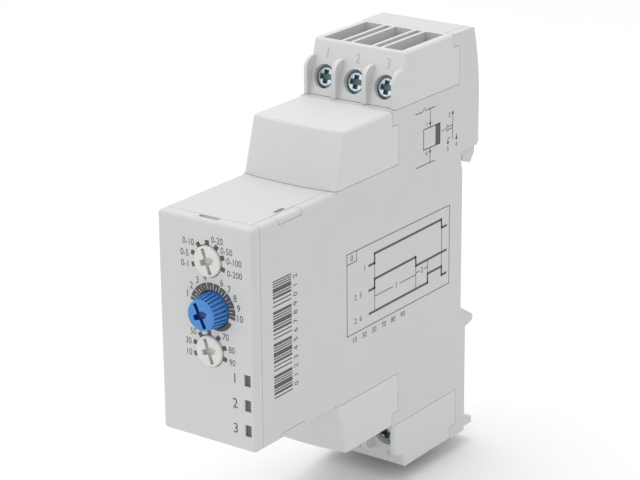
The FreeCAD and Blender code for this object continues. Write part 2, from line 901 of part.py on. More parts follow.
# ---- terminals -------------------------------------------------------------------------------


def make_terminal_cap(label):
    """The terminal cap: a sloped face with three screw holes, four fins, wire entries and slots."""
    body = new_body(label)
    seam = S["seam"]
    low = half_step + seam
    side = [
        (-S["terminal_foot"], low),
        (face_top, half_height),
        (-S["cap_rear"] - seam, half_height),
        (-S["cap_rear"] - seam, cap_shoulder - seam),
        (-S["cap_tuck"] - seam, cap_shoulder - seam),
        (-S["cap_tuck"] - seam, low),
    ]
    pad(body, "YZ", [side], -half_width, half_width)
    add_fins(body, low)

    def outer(edge):
        box = edge.BoundBox
        on_flank = min(abs(box.XMin - half_width.value), abs(box.XMax + half_width.value)) < NEAR
        flat = box.XLength < NEAR
        front_top = box.YMax < face_top.value + NEAR and box.ZMin > fin_top.value
        top = box.ZMin > half_height.value - NEAR and box.YMin < face_top.value + NEAR
        return (on_flank and flat and (front_top or top)) or (top and not flat)

    bevel_edges(body, S["cap_bevel"], outer)
    over = S["over"]
    face_inner = -S["terminal_foot"] + S["face_wall"] / cosine(S["terminal_tilt"])
    cell_top = half_height - S["entry_depth"]
    cell_front_top = face_inner + (cell_top - half_step) * tan_tilt
    cell = [
        (face_inner - over * tan_tilt, half_step - over),
        (cell_front_top, cell_top),
        (-S["cell_rear"], cell_top),
        (-S["cell_rear"], half_step - over),
    ]
    half_cell = S["cell_width"] / 2
    for x in terminal_centres():
        cut(body, "YZ", [cell], x - half_cell, x + half_cell)
    half_entry = S["entry_width"] / 2
    entry_front = face_top + S["entry_lip"]
    entries = [
        box_outline(x - half_entry, x + half_entry, entry_front, -S["entry_rear"])
        for x in terminal_centres()
    ]
    cut(body, "XY", entries, cell_top - S["bite"], half_height + over)
    half_slot = S["slot_width"] / 2
    slots = [
        box_outline(x - half_slot, x + half_slot, entry_front, -S["entry_rear"])
        for x in (-terminal_pitch / 2, terminal_pitch / 2)
    ]
    cut(body, "XY", slots, half_height - S["slot_depth"], half_height + over)
    cut_screw_holes(body)
    return body


def add_fins(body, low):
    """Four upright fins that divide the screws."""
    foot = -S["fin_front"]
    round_start = fin_top - S["fin_round"]
    fin = [
        (foot, low),
        (-S["terminal_foot"] + S["face_wall"], low),
        (face_top, fin_top),
        (foot + S["fin_round"], fin_top, S["fin_round"]),
        (foot, round_start),
    ]
    thick = S["fin_width"]
    inner = terminal_pitch / 2
    for left in (-half_width, -inner - thick / 2, inner - thick / 2, half_width - thick):
        pad(body, "YZ", [fin], left, left + thick)


def cut_screw_holes(body):
    """Three round holes square to the sloped face."""
    hole = S["head_radius"] + S["head_play"]
    y, z = along_screw(-S["over"], 0)
    loops = [("circle", x, 0, hole) for x in terminal_centres()]
    sketch = add_sketch(body, "XZ", loops, -y, tilt=-S["terminal_tilt"], lift=z)
    pocket(body, sketch, S["face_wall"] + 2 * S["over"])


def place_in_terminal(body, x, upper):
    """Puts a piece drawn on the screw's own axes into a terminal: Y inwards, Z up the face."""
    tilt = FreeCAD.Rotation(FreeCAD.Vector(1, 0, 0), -S["terminal_tilt"].value)
    base = FreeCAD.Vector(x.value, screw_y.value, screw_height.value)
    placement = FreeCAD.Placement(base, tilt)
    if not upper:
        half_turn = FreeCAD.Rotation(FreeCAD.Vector(0, 1, 0), 180)
        placement = FreeCAD.Placement(FreeCAD.Vector(), half_turn) * placement
    body.Placement = placement
    sign = 1 if upper else -1
    bind(body, "Placement.Base.x", x * sign)
    bind(body, "Placement.Base.y", screw_y)
    bind(body, "Placement.Base.z", screw_height * sign)


def make_terminal_screw(number, x, upper):
    """A clamp screw: pan head with a cross recess, and a plain shank that bears on the bar."""
    body = new_body(f"terminal_screw_{number}")
    start, under = S["head_sink"], head_under
    head, shank = S["head_radius"], S["screw_radius"]
    edge = S["head_edge"]
    profile = [
        (0, start),
        (head - edge, start),
        (head, start + edge),
        (head, under),
        (shank, under),
        (shank, screw_tip),
        (0, screw_tip),
    ]
    turn(body, [profile])
    half, narrow = S["recess_length"] / 2, S["recess_width"] / 2
    for loop in (box_outline(-half, half, -narrow, narrow), box_outline(-narrow, narrow, -half, half)):
        cut(body, "XZ", [loop], start - S["over"], start + S["recess_depth"])
    place_in_terminal(body, x, upper)
    return body


def make_clamp_cage(number, x, upper):
    """A rising clamp cage: a rectangular ring, tapped in its front plate."""
    body = new_body(f"clamp_cage_{number}")
    half, inner = S["cage_width"] / 2, S["cage_width"] / 2 - S["cage_side"]
    tall = S["cage_height"] / 2
    ring = [
        box_outline(-half, half, cage_start, cage_end),
        box_outline(-inner, inner, cage_start + S["cage_plate"], cage_end - S["cage_base"]),
    ]
    pad(body, "XY", ring, -tall, tall)
    hole = S["screw_radius"] + S["screw_play"]
    behind = cage_start + S["cage_plate"] + S["over"]
    cut(body, "XZ", [("circle", 0, 0, hole)], cage_start - S["over"], behind)
    place_in_terminal(body, x, upper)
    return body


def make_contact_bar(number, x, upper):
    """The fixed bar that the wire is clamped against, bent down to a leg through the floor."""
    body = new_body(f"contact_bar_{number}")
    rear = bar_front + S["bar_thickness"]
    top_front, top_rear = along_screw(bar_front, S["bar_top"]), along_screw(rear, S["bar_top"])
    bend_front, bend_rear = along_screw(bar_front, -S["bar_bend"]), along_screw(rear, -S["bar_bend"])
    side = [
        top_front,
        top_rear,
        bend_rear,
        (bend_rear[0], bar_end),
        (bend_front[0], bar_end),
        bend_front,
    ]
    half = S["bar_width"] / 2
    pad(body, "YZ", [side], x - half, x + half)
    if not upper:
        upside_down(body)
    return body


# ---- knobs, potentiometer and switches -------------------------------------------------------


def make_knob(label, x, z, setting, profile):
    """A turned knob on a stem, placed on its axis with its pointer raised by the angle it is set to."""
    body = new_body(label)
    turn(body, [profile])
    turned = FreeCAD.Rotation(FreeCAD.Vector(0, -1, 0), setting.value)
    body.Placement = FreeCAD.Placement(FreeCAD.Vector(x.value, 0, z.value), turned)
    bind(body, "Placement.Base.x", x)
    bind(body, "Placement.Base.z", z)
    bind(body, "Placement.Rotation.Angle", setting)
    return body


def cut_pointer(body, face, reach):
    """The cross recess of a knob face: a long slot and a broader arm that points to the scale."""
    long_half, narrow = reach * S["pointer_span"], S["pointer_slot"] / 2
    tail, neck, tip = (reach * S[f"pointer_{part}"] for part in ("tail", "neck", "tip"))
    front, floor = face - S["over"], face + S["pointer_depth"]
    cut(body, "XZ", [box_outline(-narrow, narrow, -long_half, long_half)], front, floor)
    arm = [
        (-tail, -S["pointer_width"] / 3),
        (neck, -S["pointer_width"] / 2),
        (tip, 0),
        (neck, S["pointer_width"] / 2),
        (-tail, S["pointer_width"] / 3),
    ]
    cut(body, "XZ", [arm], front, floor)


def make_time_knob():
    """The fluted time knob that stands proud of the panel."""
    face = -S["front_reach"] - S["dial_proud"]
    back = -S["front_reach"] + S["dial_sink"]
    edge = S["dial_edge"]
    profile = [
        (0, face),
        (S["dial_radius"] - edge, face),
        (S["dial_radius"], face + edge),
        (S["dial_base_radius"], -S["front_reach"] - S["dial_collar"]),
        (S["dial_base_radius"], back),
        (S["stem_radius"], back),
        (S["stem_radius"], knob_stem_end),
        (0, knob_stem_end),
    ]
    body = make_knob("time_knob", S["dial_x"], dial_z, S["dial_setting"], profile)
    cut_flutes(body, face)
    cut_pointer(body, face, S["dial_radius"])
    return body


def cut_flutes(body, face):
    """Straight flutes round the knob, one cut and patterned."""
    half = S["flute_width"] / 2
    outer = S["dial_base_radius"] + S["over"]
    start, end = face + S["flute_start"], -S["front_reach"] - S["dial_collar"]
    inner = S["dial_radius"] - S["flute_depth"]
    lean = S["dial_base_radius"] - S["dial_radius"]
    flute = [
        (inner, start),
        (outer, start),
        (outer, end),
        (inner + lean, end),
    ]
    feature = cut(body, "XY", [flute], -half, half)
    DOC.recompute()
    pattern = body.newObject("PartDesign::PolarPattern", "time_knob_flutes")
    axes = {item.Role: item for item in body.Origin.OriginFeatures}
    pattern.Originals = [feature]
    pattern.Axis = (axes["Y_Axis"], [""])
    pattern.Angle = 360.0
    pattern.Occurrences = int(S["flute_count"].value)
    body.Tip = pattern
    DOC.recompute()


def make_selector(label, z):
    """A flat selector disc, almost flush with the panel."""
    face = -S["front_reach"] - S["selector_proud"]
    back = -S["front_reach"] + S["selector_sink"]
    edge = S["selector_edge"]
    profile = [
        (0, face),
        (S["selector_radius"] - edge, face),
        (S["selector_radius"], face + edge),
        (S["selector_radius"], back),
        (S["stem_radius"], back),
        (S["stem_radius"], knob_stem_end),
        (0, knob_stem_end),
    ]
    body = make_knob(label, S["selector_x"], z, S["selector_setting"], profile)
    cut_pointer(body, face, S["selector_radius"])
    return body


def make_control_base(label, x, z):
    """The square body of a potentiometer or rotary switch, with the socket for a knob's stem."""
    body = new_body(label)
    half = S["pot_side"] / 2
    pad(body, "XZ", [box_outline(x - half, x + half, z - half, z + half)], pot_front, panel_board_front)
    socket = S["stem_radius"] + S["stem_play"]
    socket_end = knob_stem_end + S["stem_end_play"]
    cut(body, "XZ", [("circle", x, z, socket)], pot_front - S["over"], socket_end)
    return body


# ---- boards and their components -------------------------------------------------------------


def make_panel_board():
    """The small board behind the front panel."""
    body = new_body("panel_board")
    half = panel_board_height / 2
    loop = box_outline(board_left, cover_inner - S["board_clear"], -half, half)
    pad(body, "XZ", [loop], panel_board_front, panel_board_back)
    return body


def make_main_board():
    """The main board along the left wall."""
    body = new_body("main_board")
    half = board_height / 2
    loop = box_outline(panel_board_back, -S["board_rear"], -half, half)
    pad(body, "YZ", [loop], board_left, board_right)
    return body


def make_block(label, y_low, length, z_low, width, height):
    """A box-shaped component that stands on the main board."""
    body = new_body(label)
    loop = box_outline(y_low, y_low + length, z_low, z_low + width)
    pad(body, "YZ", [loop], board_right, board_right + height)
    bevel_edges(body, S["block_bevel"], lambda edge: abs(edge.BoundBox.XLength - height.value) < NEAR)
    return body


def make_reservoir():
    """The electrolytic capacitor, a turned can on the main board."""
    body = new_body("reservoir_capacitor")
    loop = ("circle", -reservoir_y, S["reservoir_rise"] - board_height / 2, S["reservoir_radius"])
    pad(body, "YZ", [loop], board_right, board_right + S["reservoir_height"])
    return body


# ---- rail clip -------------------------------------------------------------------------------


def make_rail_clip():
    """The sliding clip: claw, flanged plate with the spring window, and pull tab."""
    body = new_body("rail_clip")
    plate_low, plate_high = -tab_bottom, -claw_top - S["plate_drop"]
    window = box_outline(
        -S["window_width"] / 2,
        S["window_width"] / 2,
        -spring_foot - S["spring_seat"] - S["clip_play"],
        -window_top,
    )
    flange_rear = -S["flange_back"] + S["flange_thickness"]
    neck_rear = flange_rear + S["neck_thickness"]
    flange = box_outline(-flange_width / 2, flange_width / 2, plate_low, plate_high)
    pad(body, "XZ", [flange, window], -S["flange_back"], flange_rear)
    neck = box_outline(-neck_width / 2, neck_width / 2, plate_low, plate_high)
    pad(body, "XZ", [neck, window], flange_rear - S["seam"], neck_rear)
    half_claw = claw_width / 2
    seat_z = -S["rail_width"] / 2 - S["lip_gap"]
    behind_lip = S["rail_lip"] + S["clip_play"]
    underside = -claw_top - S["claw_depth"]
    claw = [
        (S["claw_front"], underside),
        (S["claw_front"], seat_z),
        (behind_lip, seat_z),
        (behind_lip, -claw_top),
        (behind_lip + S["claw_nose"], -claw_top),
        (S["claw_reach"], -claw_top - S["claw_drop"]),
        (S["claw_reach"], -claw_top - S["claw_drop"] - S["claw_tip"]),
        (S["claw_heel"], underside),
    ]
    pad(body, "YZ", [claw], -half_claw, half_claw)
    add_pull_tab(body, neck_rear, half_claw)
    return body


def add_pull_tab(body, neck_rear, half_claw):
    """The tab at the foot of the clip, with the slot for a screwdriver."""
    clear = S["foot_back"] + S["clip_play"]
    low = -tab_bottom
    tab = [
        (clear, low),
        (S["claw_reach"], low),
        (S["claw_reach"], -tab_top - S["tab_slope"]),
        (clear + S["tab_step"], -tab_top - S["tab_dip"]),
        (clear, -tab_top),
    ]
    pad(body, "YZ", [tab], -half_claw, half_claw)
    bridge = box_outline(neck_rear - S["bite"], clear + S["bite"], low, -tab_top)
    pad(body, "YZ", [bridge], -neck_width / 2, neck_width / 2)
    middle = (clear + S["claw_reach"]) / 2 + S["tab_slot_shift"]
    half = S["tab_slot_width"] / 2
    slot = box_outline(-half, half, middle - S["tab_slot_depth"] / 2, middle + S["tab_slot_depth"] / 2)
    cut(body, "XY", [slot], low - S["over"], -tab_top + S["over"])


def make_clip_spring():
    """The compression spring between the housing's peg and the top of the clip's window."""
    radius, wire, turns = (S[f"spring_{part}"].value for part in ("radius", "wire", "turns"))
    end_gap = wire / 2 + S["spring_play"].value
    foot, top = end_gap - spring_foot.value, -end_gap - window_top.value
    steps = int(turns * STEPS_PER_TURN)
    coil = [helix_point(radius, (top - foot) / steps, step) for step in range(steps + 1)]
    path = Part.makePolygon(coil)
    way = (coil[1] - coil[0]).normalize()
    outward = FreeCAD.Vector(1, 0, 0) - way * way.x
    outward.normalize()
    section = ring_about(coil[0], outward, way.cross(outward), wire / 2)
    spring = DOC.addObject("Part::Feature", "clip_spring")
    spring.Shape = Part.Wire(path.Edges).makePipeShell([Part.makePolygon(section)], True, False, 1)
    middle = S["neck_thickness"].value / 2
    spring.Placement = FreeCAD.Placement(FreeCAD.Vector(0, middle, foot), FreeCAD.Rotation())
    spring.Label = "clip_spring"
    return spring


def helix_point(radius, rise, step):
    """One point of a coil that starts on +X."""
    angle = 2 * math.pi * step / STEPS_PER_TURN
    return FreeCAD.Vector(radius * math.cos(angle), radius * math.sin(angle), rise * step)


def ring_about(centre, first, second, radius):
    """A closed ring of points about a centre, in the plane of two unit vectors."""
    angles = [2 * math.pi * index / WIRE_SIDES for index in range(WIRE_SIDES + 1)]
    return [centre + first * (radius * math.cos(a)) + second * (radius * math.sin(a)) for a in angles]


# ---- assembly --------------------------------------------------------------------------------


def build():
    """Makes every piece and returns them in order."""
    pieces = [make_housing(), make_side_cover(), make_front_panel()]
    pieces += [make_led_window(n, z) for n, z in enumerate(led_places(), start=1)]
    pieces += [make_step_cap("step_cap_upper"), make_step_cap("step_cap_lower")]
    upside_down(pieces[-1])
    pieces += [make_terminal_cap("terminal_cap_upper"), make_terminal_cap("terminal_cap_lower")]
    upside_down(pieces[-1])
    places = [(x, upper) for upper in (True, False) for x in terminal_centres()]
    for number, (x, upper) in enumerate(places, start=1):
        pieces.append(make_terminal_screw(number, x, upper))
        pieces.append(make_clamp_cage(number, x, upper))
        pieces.append(make_contact_bar(number, x, upper))
    pieces += [
        make_time_knob(),
        make_selector("range_selector", range_z),
        make_selector("mode_selector", mode_z),
        make_control_base("time_potentiometer", S["dial_x"], dial_z),
        make_control_base("range_switch", S["selector_x"], range_z),
        make_control_base("mode_switch", S["selector_x"], mode_z),
        make_panel_board(),
        make_main_board(),
        make_block(
            "relay",
            -S["relay_rear"] - S["relay_length"],
            S["relay_length"],
            S["relay_top"] - S["relay_width"],
            S["relay_width"],
            relay_height,
        ),
        make_block(
            "film_capacitor",
            -film_front,
            S["film_length"],
            size(S["film_z"]),
            S["film_width"],
            S["film_height"],
        ),
        make_block(
            "supply_choke",
            -S["choke_front"],
            S["choke_length"],
            size(S["choke_z"]),
            S["choke_width"],
            S["choke_height"],
        ),
        make_reservoir(),
        make_rail_clip(),
        make_clip_spring(),
    ]
    DOC.recompute()
    return pieces


def check(pieces):
    """Stops if any object failed or any piece isn't one valid solid."""
    for item in DOC.Objects:
        if "Invalid" in item.State or "Error" in item.State:
            raise RuntimeError(f"{item.Label} failed: {item.State}")
    for piece in pieces:
        shape = piece.Shape
        if shape.isNull() or not shape.isValid() or len(shape.Solids) != 1:
            raise RuntimeError(f"{piece.Label} isn't one valid solid")


def write(pieces):
    """Writes each piece to parts/ under its own name."""
    os.makedirs("parts", exist_ok=True)
    for piece in pieces:
        piece.Shape.exportStep(f"parts/{piece.Label}.step")


assembly = build()
check(assembly)
write(assembly)
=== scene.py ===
"""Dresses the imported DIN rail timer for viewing.

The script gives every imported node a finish, prints the scales, marks and diagrams on the case,
raises the terminal numbers, winds the clip spring, and sets up the studio. Lengths in the classes
are in millimetres in the part's own frame: X across the width, +Y towards the rail, +Z up.
"""

import json
import logging
import math
from dataclasses import dataclass, field
from enum import Enum

import bpy
from bpy.types import Material, Node, NodeSocket, NodeTree, Object
from mathutils import Matrix, Vector

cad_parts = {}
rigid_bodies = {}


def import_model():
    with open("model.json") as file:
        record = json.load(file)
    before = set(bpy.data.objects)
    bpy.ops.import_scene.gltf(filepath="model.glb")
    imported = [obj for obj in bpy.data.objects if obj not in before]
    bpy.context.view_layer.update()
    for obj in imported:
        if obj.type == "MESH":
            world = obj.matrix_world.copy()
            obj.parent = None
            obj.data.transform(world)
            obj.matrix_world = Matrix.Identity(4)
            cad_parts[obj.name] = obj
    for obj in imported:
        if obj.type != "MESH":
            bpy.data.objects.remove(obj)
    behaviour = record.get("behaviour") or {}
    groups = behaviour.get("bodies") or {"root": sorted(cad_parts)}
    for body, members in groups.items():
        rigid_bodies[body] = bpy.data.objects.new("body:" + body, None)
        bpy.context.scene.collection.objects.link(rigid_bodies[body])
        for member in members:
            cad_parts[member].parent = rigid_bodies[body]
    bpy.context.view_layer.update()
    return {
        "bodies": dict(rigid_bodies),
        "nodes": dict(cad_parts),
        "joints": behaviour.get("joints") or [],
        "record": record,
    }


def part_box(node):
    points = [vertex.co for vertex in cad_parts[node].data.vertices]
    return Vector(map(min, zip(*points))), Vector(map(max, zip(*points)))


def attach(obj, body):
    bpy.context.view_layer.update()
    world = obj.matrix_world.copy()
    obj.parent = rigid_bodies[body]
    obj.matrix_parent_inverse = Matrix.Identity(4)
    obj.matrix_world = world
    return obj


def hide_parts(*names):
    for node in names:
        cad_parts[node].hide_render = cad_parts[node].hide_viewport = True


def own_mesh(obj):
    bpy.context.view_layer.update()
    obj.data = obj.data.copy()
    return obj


MM = 0.001
LOG = logging.getLogger("rail_timer")

Colour = tuple[float, float, float]
Triple = tuple[float, float, float]
Point = tuple[float, float]
Path = tuple[Point, ...]
Label = tuple[str, float, float, float]
Sockets = tuple[NodeSocket, NodeSocket]


# ---- the bench: small modelling helpers ----


def clear_selection() -> None:
    """Deselects everything in object mode."""
    bpy.ops.object.select_all(action="DESELECT")


def choose(*pieces: Object) -> None:
    """Selects the given objects only, and makes the first one active."""
    clear_selection()
    for piece in pieces:
        piece.select_set(True)
    bpy.context.view_layer.objects.active = pieces[0]


def freeze(piece: Object) -> None:
    """Moves an object's place, turn and scale into its mesh."""
    choose(piece)
    bpy.ops.object.transform_apply(location=True, rotation=True, scale=True)


def join(pieces: list[Object], name: str) -> Object:
    """Joins several mesh objects into one.

    Args:
        pieces: The objects, at least one.
        name: The name of the result.

    Returns:
        The joined object.
    """
    choose(*pieces)
    if len(pieces) > 1:
        bpy.ops.object.join()
    piece = bpy.context.view_layer.objects.active
    piece.name = name
    piece.data.name = name
    return piece


def apply_modifiers(piece: Object) -> None:
    """Applies every modifier of an object in order."""
    choose(piece)
    for modifier in list(piece.modifiers):
        bpy.ops.object.modifier_apply(modifier=modifier.name)


def hand_over(piece: Object, body: str, material: Material) -> None:
    """Gives a finished piece its material and its body, and logs it.

    Args:
        piece: The finished piece, frozen at the origin.
        body: The CAD body that the piece moves with.
        material: The piece's material.
    """
    piece.data.materials.clear()
    piece.data.materials.append(material)
    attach(piece, body)
    LOG.info("%s rides on %s, %d faces", piece.name, body, len(piece.data.polygons))


# ---- node groups that the finishes share ----


class NodeBench:
    """Adds and feeds nodes in one node tree."""

    def __init__(self, tree: NodeTree) -> None:
        """Keeps the tree to work on."""
        self.tree = tree

    def feed(self, target: NodeSocket, value: object) -> None:
        """Links a socket to an input, or sets the input to a plain value."""
        if isinstance(value, NodeSocket):
            self.tree.links.new(value, target)
        else:
            target.default_value = value

    def add(self, kind: str, **settings: object) -> Node:
        """Adds a node, sets its properties, and then feeds its inputs by name.

        Args:
            kind: The node's type name without the ShaderNode prefix.
            settings: Properties by name; a name that starts with in_ feeds an input, with _ for a space.

        Returns:
            The new node.
        """
        node = self.tree.nodes.new(f"ShaderNode{kind}")
        for name, value in settings.items():
            if not name.startswith("in_"):
                setattr(node, name, value)
        for name, value in settings.items():
            if name.startswith("in_"):
                self.feed(node.inputs[name[3:].replace("_", " ")], value)
        return node

    def maths(self, operation: str, *values: object) -> NodeSocket:
        """Adds a Math node.

        Args:
            operation: The node's operation.
            values: Its inputs in order, each a socket or a number.

        Returns:
            The node's output.
        """
        node = self.add("Math", operation=operation)
        for socket, value in zip(node.inputs, values):
            self.feed(socket, value)
        return node.outputs[0]

    def length(self, across: NodeSocket, up: NodeSocket) -> NodeSocket:
        """The length of a flat step, from how far it goes across and up."""
        squares = (self.maths("MULTIPLY", side, side) for side in (across, up))
        return self.maths("SQRT", self.maths("ADD", *squares))

    def seen(self) -> NodeSocket:
        """A mask that is 1 for what the camera, gloss and glass see, and 0 for light on the part."""
        rays = self.add("LightPath").outputs
        seen = self.maths("MAXIMUM", rays["Is Camera Ray"], rays["Is Glossy Ray"])
        return self.maths("MAXIMUM", seen, rays["Is Transmission Ray"])


def new_group(name: str, takes: list[str], gives: list[str]) -> tuple[NodeBench, dict, dict]:
    """Starts a node group.

    Args:
        name: The group's name.
        takes: The names of its inputs; "Place" is a vector, the rest are floats.
        gives: The names of its outputs, all floats.

    Returns:
        The group's bench, its input sockets by name and its output sockets by name.
    """
    tree = bpy.data.node_groups.new(name, "ShaderNodeTree")
    for way, labels in (("INPUT", takes), ("OUTPUT", gives)):
        for label in labels:
            kind = "NodeSocketVector" if label == "Place" else "NodeSocketFloat"
            tree.interface.new_socket(name=label, in_out=way, socket_type=kind)
    start = tree.nodes.new("NodeGroupInput")
    end = tree.nodes.new("NodeGroupOutput")
    return NodeBench(tree), dict(start.outputs.items()), dict(end.inputs.items())


def moulded_grain_group() -> NodeTree:
    """The look of a moulded thermoplastic: faint flow mottle and fine spark-eroded grain.

    Returns:
        A group that takes Place, Mottle Size and Grain Size (per metre), and gives Mottle (0 to 1),
        Height and Gloss Shift.
    """
    pit_share, gloss_swing = 0.6, 0.16
    takes = ["Place", "Mottle Size", "Grain Size"]
    bench, start, end = new_group("moulded grain", takes, ["Mottle", "Height", "Gloss Shift"])
    place, coarse, fine = (start[name] for name in takes)
    mottle = bench.add("TexNoise", in_Vector=place, in_Scale=coarse, in_Detail=3.0, in_Roughness=0.55)
    grain = bench.add("TexNoise", in_Vector=place, in_Scale=fine, in_Detail=2.0, in_Roughness=0.6)
    pits = bench.add("TexVoronoi", feature="SMOOTH_F1", in_Vector=place, in_Scale=fine, in_Smoothness=0.7)
    sunk = bench.maths("MULTIPLY", pits.outputs["Distance"], pit_share)
    shift = bench.maths("SUBTRACT", grain.outputs[0], 0.5)
    bench.feed(end["Mottle"], mottle.outputs[0])
    bench.feed(end["Height"], bench.maths("ADD", grain.outputs[0], sunk))
    bench.feed(end["Gloss Shift"], bench.maths("MULTIPLY", shift, gloss_swing))
    return bench.tree


def brushed_lines_group() -> NodeTree:
    """Fine drawn lines and a faint cloud, for plated and drawn metal.

    Returns:
        A group that takes Place and gives Lines (0 to 1) and Cloud (0 to 1).
    """
    bench, start, end = new_group("brushed lines", ["Place"], ["Lines", "Cloud"])
    stretch = bench.add("Mapping", in_Vector=start["Place"], in_Scale=(900.0, 900.0, 9000.0))
    lines = bench.add("TexNoise", in_Vector=stretch.outputs[0], in_Scale=1.0, in_Detail=3.0)
    cloud = bench.add("TexNoise", in_Vector=start["Place"], in_Scale=600.0, in_Detail=2.0)
    bench.feed(end["Lines"], lines.outputs[0])
    bench.feed(end["Cloud"], cloud.outputs[0])
    return bench.tree


def screw_recess_group() -> NodeTree:
    """A mask that is 1 inside the sunk cross of the clamp screws, upper and lower rows alike, where
    painted shade goes.

    Returns:
        A group that takes Place, Pitch, Face Y, Face Z (metres), Lean (radians), Reach and Depth
        (metres), and gives Mask.
    """
    takes = ["Place", "Pitch", "Face Y", "Face Z", "Lean", "Reach", "Depth"]
    bench, start, end = new_group("screw recess", takes, ["Mask"])
    place = bench.add("SeparateXYZ", in_Vector=start["Place"]).outputs
    half = bench.maths("MULTIPLY", start["Pitch"], 0.5)
    across = bench.maths("WRAP", place["X"], half, bench.maths("MULTIPLY", half, -1.0))
    back = bench.maths("SUBTRACT", place["Y"], start["Face Y"])
    rise = bench.maths("SUBTRACT", bench.maths("ABSOLUTE", place["Z"]), start["Face Z"])
    sine, cosine = (bench.maths(name, start["Lean"]) for name in ("SINE", "COSINE"))
    inward, outward = bench.maths("MULTIPLY", back, cosine), bench.maths("MULTIPLY", rise, sine)
    along = bench.maths("SUBTRACT", inward, outward)
    up = bench.maths("ADD", bench.maths("MULTIPLY", back, sine), bench.maths("MULTIPLY", rise, cosine))
    near = bench.maths("LESS_THAN", bench.length(across, up), start["Reach"])
    deep = bench.maths("GREATER_THAN", along, start["Depth"])
    bench.feed(end["Mask"], bench.maths("MULTIPLY", near, deep))
    return bench.tree


def knob_recess_group() -> NodeTree:
    """Masks that are 1 inside a knob's sunk cross and in the flutes round its tapered side, where painted
    shade goes.

    Returns:
        A group that takes Place, Axis X, Axis Z, Reach, Face, Flute Reach and Flute Face (metres) and
        Taper (radius gained for each unit of depth), and gives Mask and Groove.
    """
    takes = ["Place", "Axis X", "Axis Z", "Reach", "Face", "Flute Reach", "Flute Face", "Taper"]
    bench, start, end = new_group("knob recess", takes, ["Mask", "Flute Shade"])
    place = bench.add("SeparateXYZ", in_Vector=start["Place"]).outputs
    across = bench.maths("SUBTRACT", place["X"], start["Axis X"])
    radius = bench.length(across, bench.maths("SUBTRACT", place["Z"], start["Axis Z"]))
    near = bench.maths("LESS_THAN", radius, start["Reach"])
    deep = bench.maths("GREATER_THAN", place["Y"], start["Face"])
    bench.feed(end["Mask"], bench.maths("MULTIPLY", near, deep))
    behind = bench.maths("SUBTRACT", place["Y"], start["Flute Face"])
    floor = bench.maths("ADD", start["Flute Reach"], bench.maths("MULTIPLY", behind, start["Taper"]))
    inside = bench.maths("LESS_THAN", radius, floor)
    bench.feed(end["Flute Shade"], bench.maths("MULTIPLY", inside, bench.maths("GREATER_THAN", behind, 0.0)))
    return bench.tree


class SharedGroups:
    """Makes each shared node group once."""

    makers = {
        "grain": moulded_grain_group,
        "lines": brushed_lines_group,
        "knob": knob_recess_group,
        "screw": screw_recess_group,
    }
    made: dict[str, NodeTree] = {}

    @classmethod
    def get(cls, name: str) -> NodeTree:
        """Returns the group of that short name, and makes it at its first use."""
        if name not in cls.made:
            cls.made[name] = cls.makers[name]()
        return cls.made[name]


# ---- finishes ----

MIX_COLOURS = (6, 7)
MIX_RESULT = 2


class MaterialBench(NodeBench):
    """A new material with its Principled shader and Object coordinates."""

    def __init__(self, name: str) -> None:
        """Starts a material of that name."""
        self.material = bpy.data.materials.new(name)
        self.material.use_nodes = True
        super().__init__(self.material.node_tree)
        self.shader = self.tree.nodes["Principled BSDF"]
        self.place = self.add("TexCoord").outputs["Object"]

    def group(self, name: str, **values: float) -> dict[str, NodeSocket]:
        """Adds a shared group on Object coordinates, with values by name, and gives its outputs."""
        inputs = {f"in_{label}": value for label, value in values.items()}
        node = self.add("Group", node_tree=SharedGroups.get(name), in_Place=self.place, **inputs)
        return dict(node.outputs.items())

    def blend(self, factor: NodeSocket, first: object, second: object) -> NodeSocket:
        """Mixes two colours by a factor.

        Args:
            factor: The factor's socket.
            first: The colour at 0, a socket or a colour.
            second: The colour at 1, a socket or a colour.

        Returns:
            The mixed colour's socket.
        """
        node = self.add("Mix", data_type="RGBA")
        self.feed(node.inputs[0], factor)
        for place, value in zip(MIX_COLOURS, (first, second)):
            self.feed(node.inputs[place], value if isinstance(value, NodeSocket) else (*value, 1.0))
        return node.outputs[MIX_RESULT]

    def vary(self, value: NodeSocket, low: float, high: float) -> NodeSocket:
        """Maps a 0 to 1 value to a range from low to high."""
        return self.add("MapRange", in_Value=value, in_To_Min=low, in_To_Max=high).outputs[0]

    def bump(self, height: NodeSocket, depth: float, strength: float) -> NodeSocket:
        """The normals of a relief whose height of 1 stands up by a depth in metres."""
        return self.add("Bump", in_Height=height, in_Strength=strength, in_Distance=depth).outputs[0]

    def dress(self, **values: object) -> Material:
        """Feeds the shader's inputs by name, with _ for a space, and gives the finished material."""
        for label, value in values.items():
            self.feed(self.shader.inputs[label.replace("_", " ")], value)
        return self.material


def shade_of(colour: Colour, factor: float) -> Colour:
    """A colour made lighter or darker by a factor."""
    return tuple(min(1.0, channel * factor) for channel in colour)


@dataclass(frozen=True)
class MouldedPlastic:
    """Moulded thermoplastic with a fine grain."""

    name: str
    colour: Colour
    roughness: float = 0.55
    mottle_depth: float = 0.02
    mottle_size: float = 90.0
    grain_size: float = 5200.0
    grain_depth: float = 0.000006
    grain_strength: float = 0.5
    specular: float = 0.4

    def tone(self, bench: MaterialBench, colour: NodeSocket) -> NodeSocket:
        """The colour that the surface shows, which is the plastic's own all over."""
        return colour

    def make(self) -> Material:
        """Builds the material."""
        bench = MaterialBench(self.name)
        grain = bench.group("grain", Mottle_Size=self.mottle_size, Grain_Size=self.grain_size)
        dark = shade_of(self.colour, 1.0 - self.mottle_depth)
        light = shade_of(self.colour, 1.0 + self.mottle_depth)
        return bench.dress(
            Base_Color=self.tone(bench, bench.blend(grain["Mottle"], dark, light)),
            Roughness=bench.maths("ADD", grain["Gloss Shift"], self.roughness),
            Normal=bench.bump(grain["Height"], self.grain_depth, self.grain_strength),
            Specular_IOR_Level=self.specular,
        )


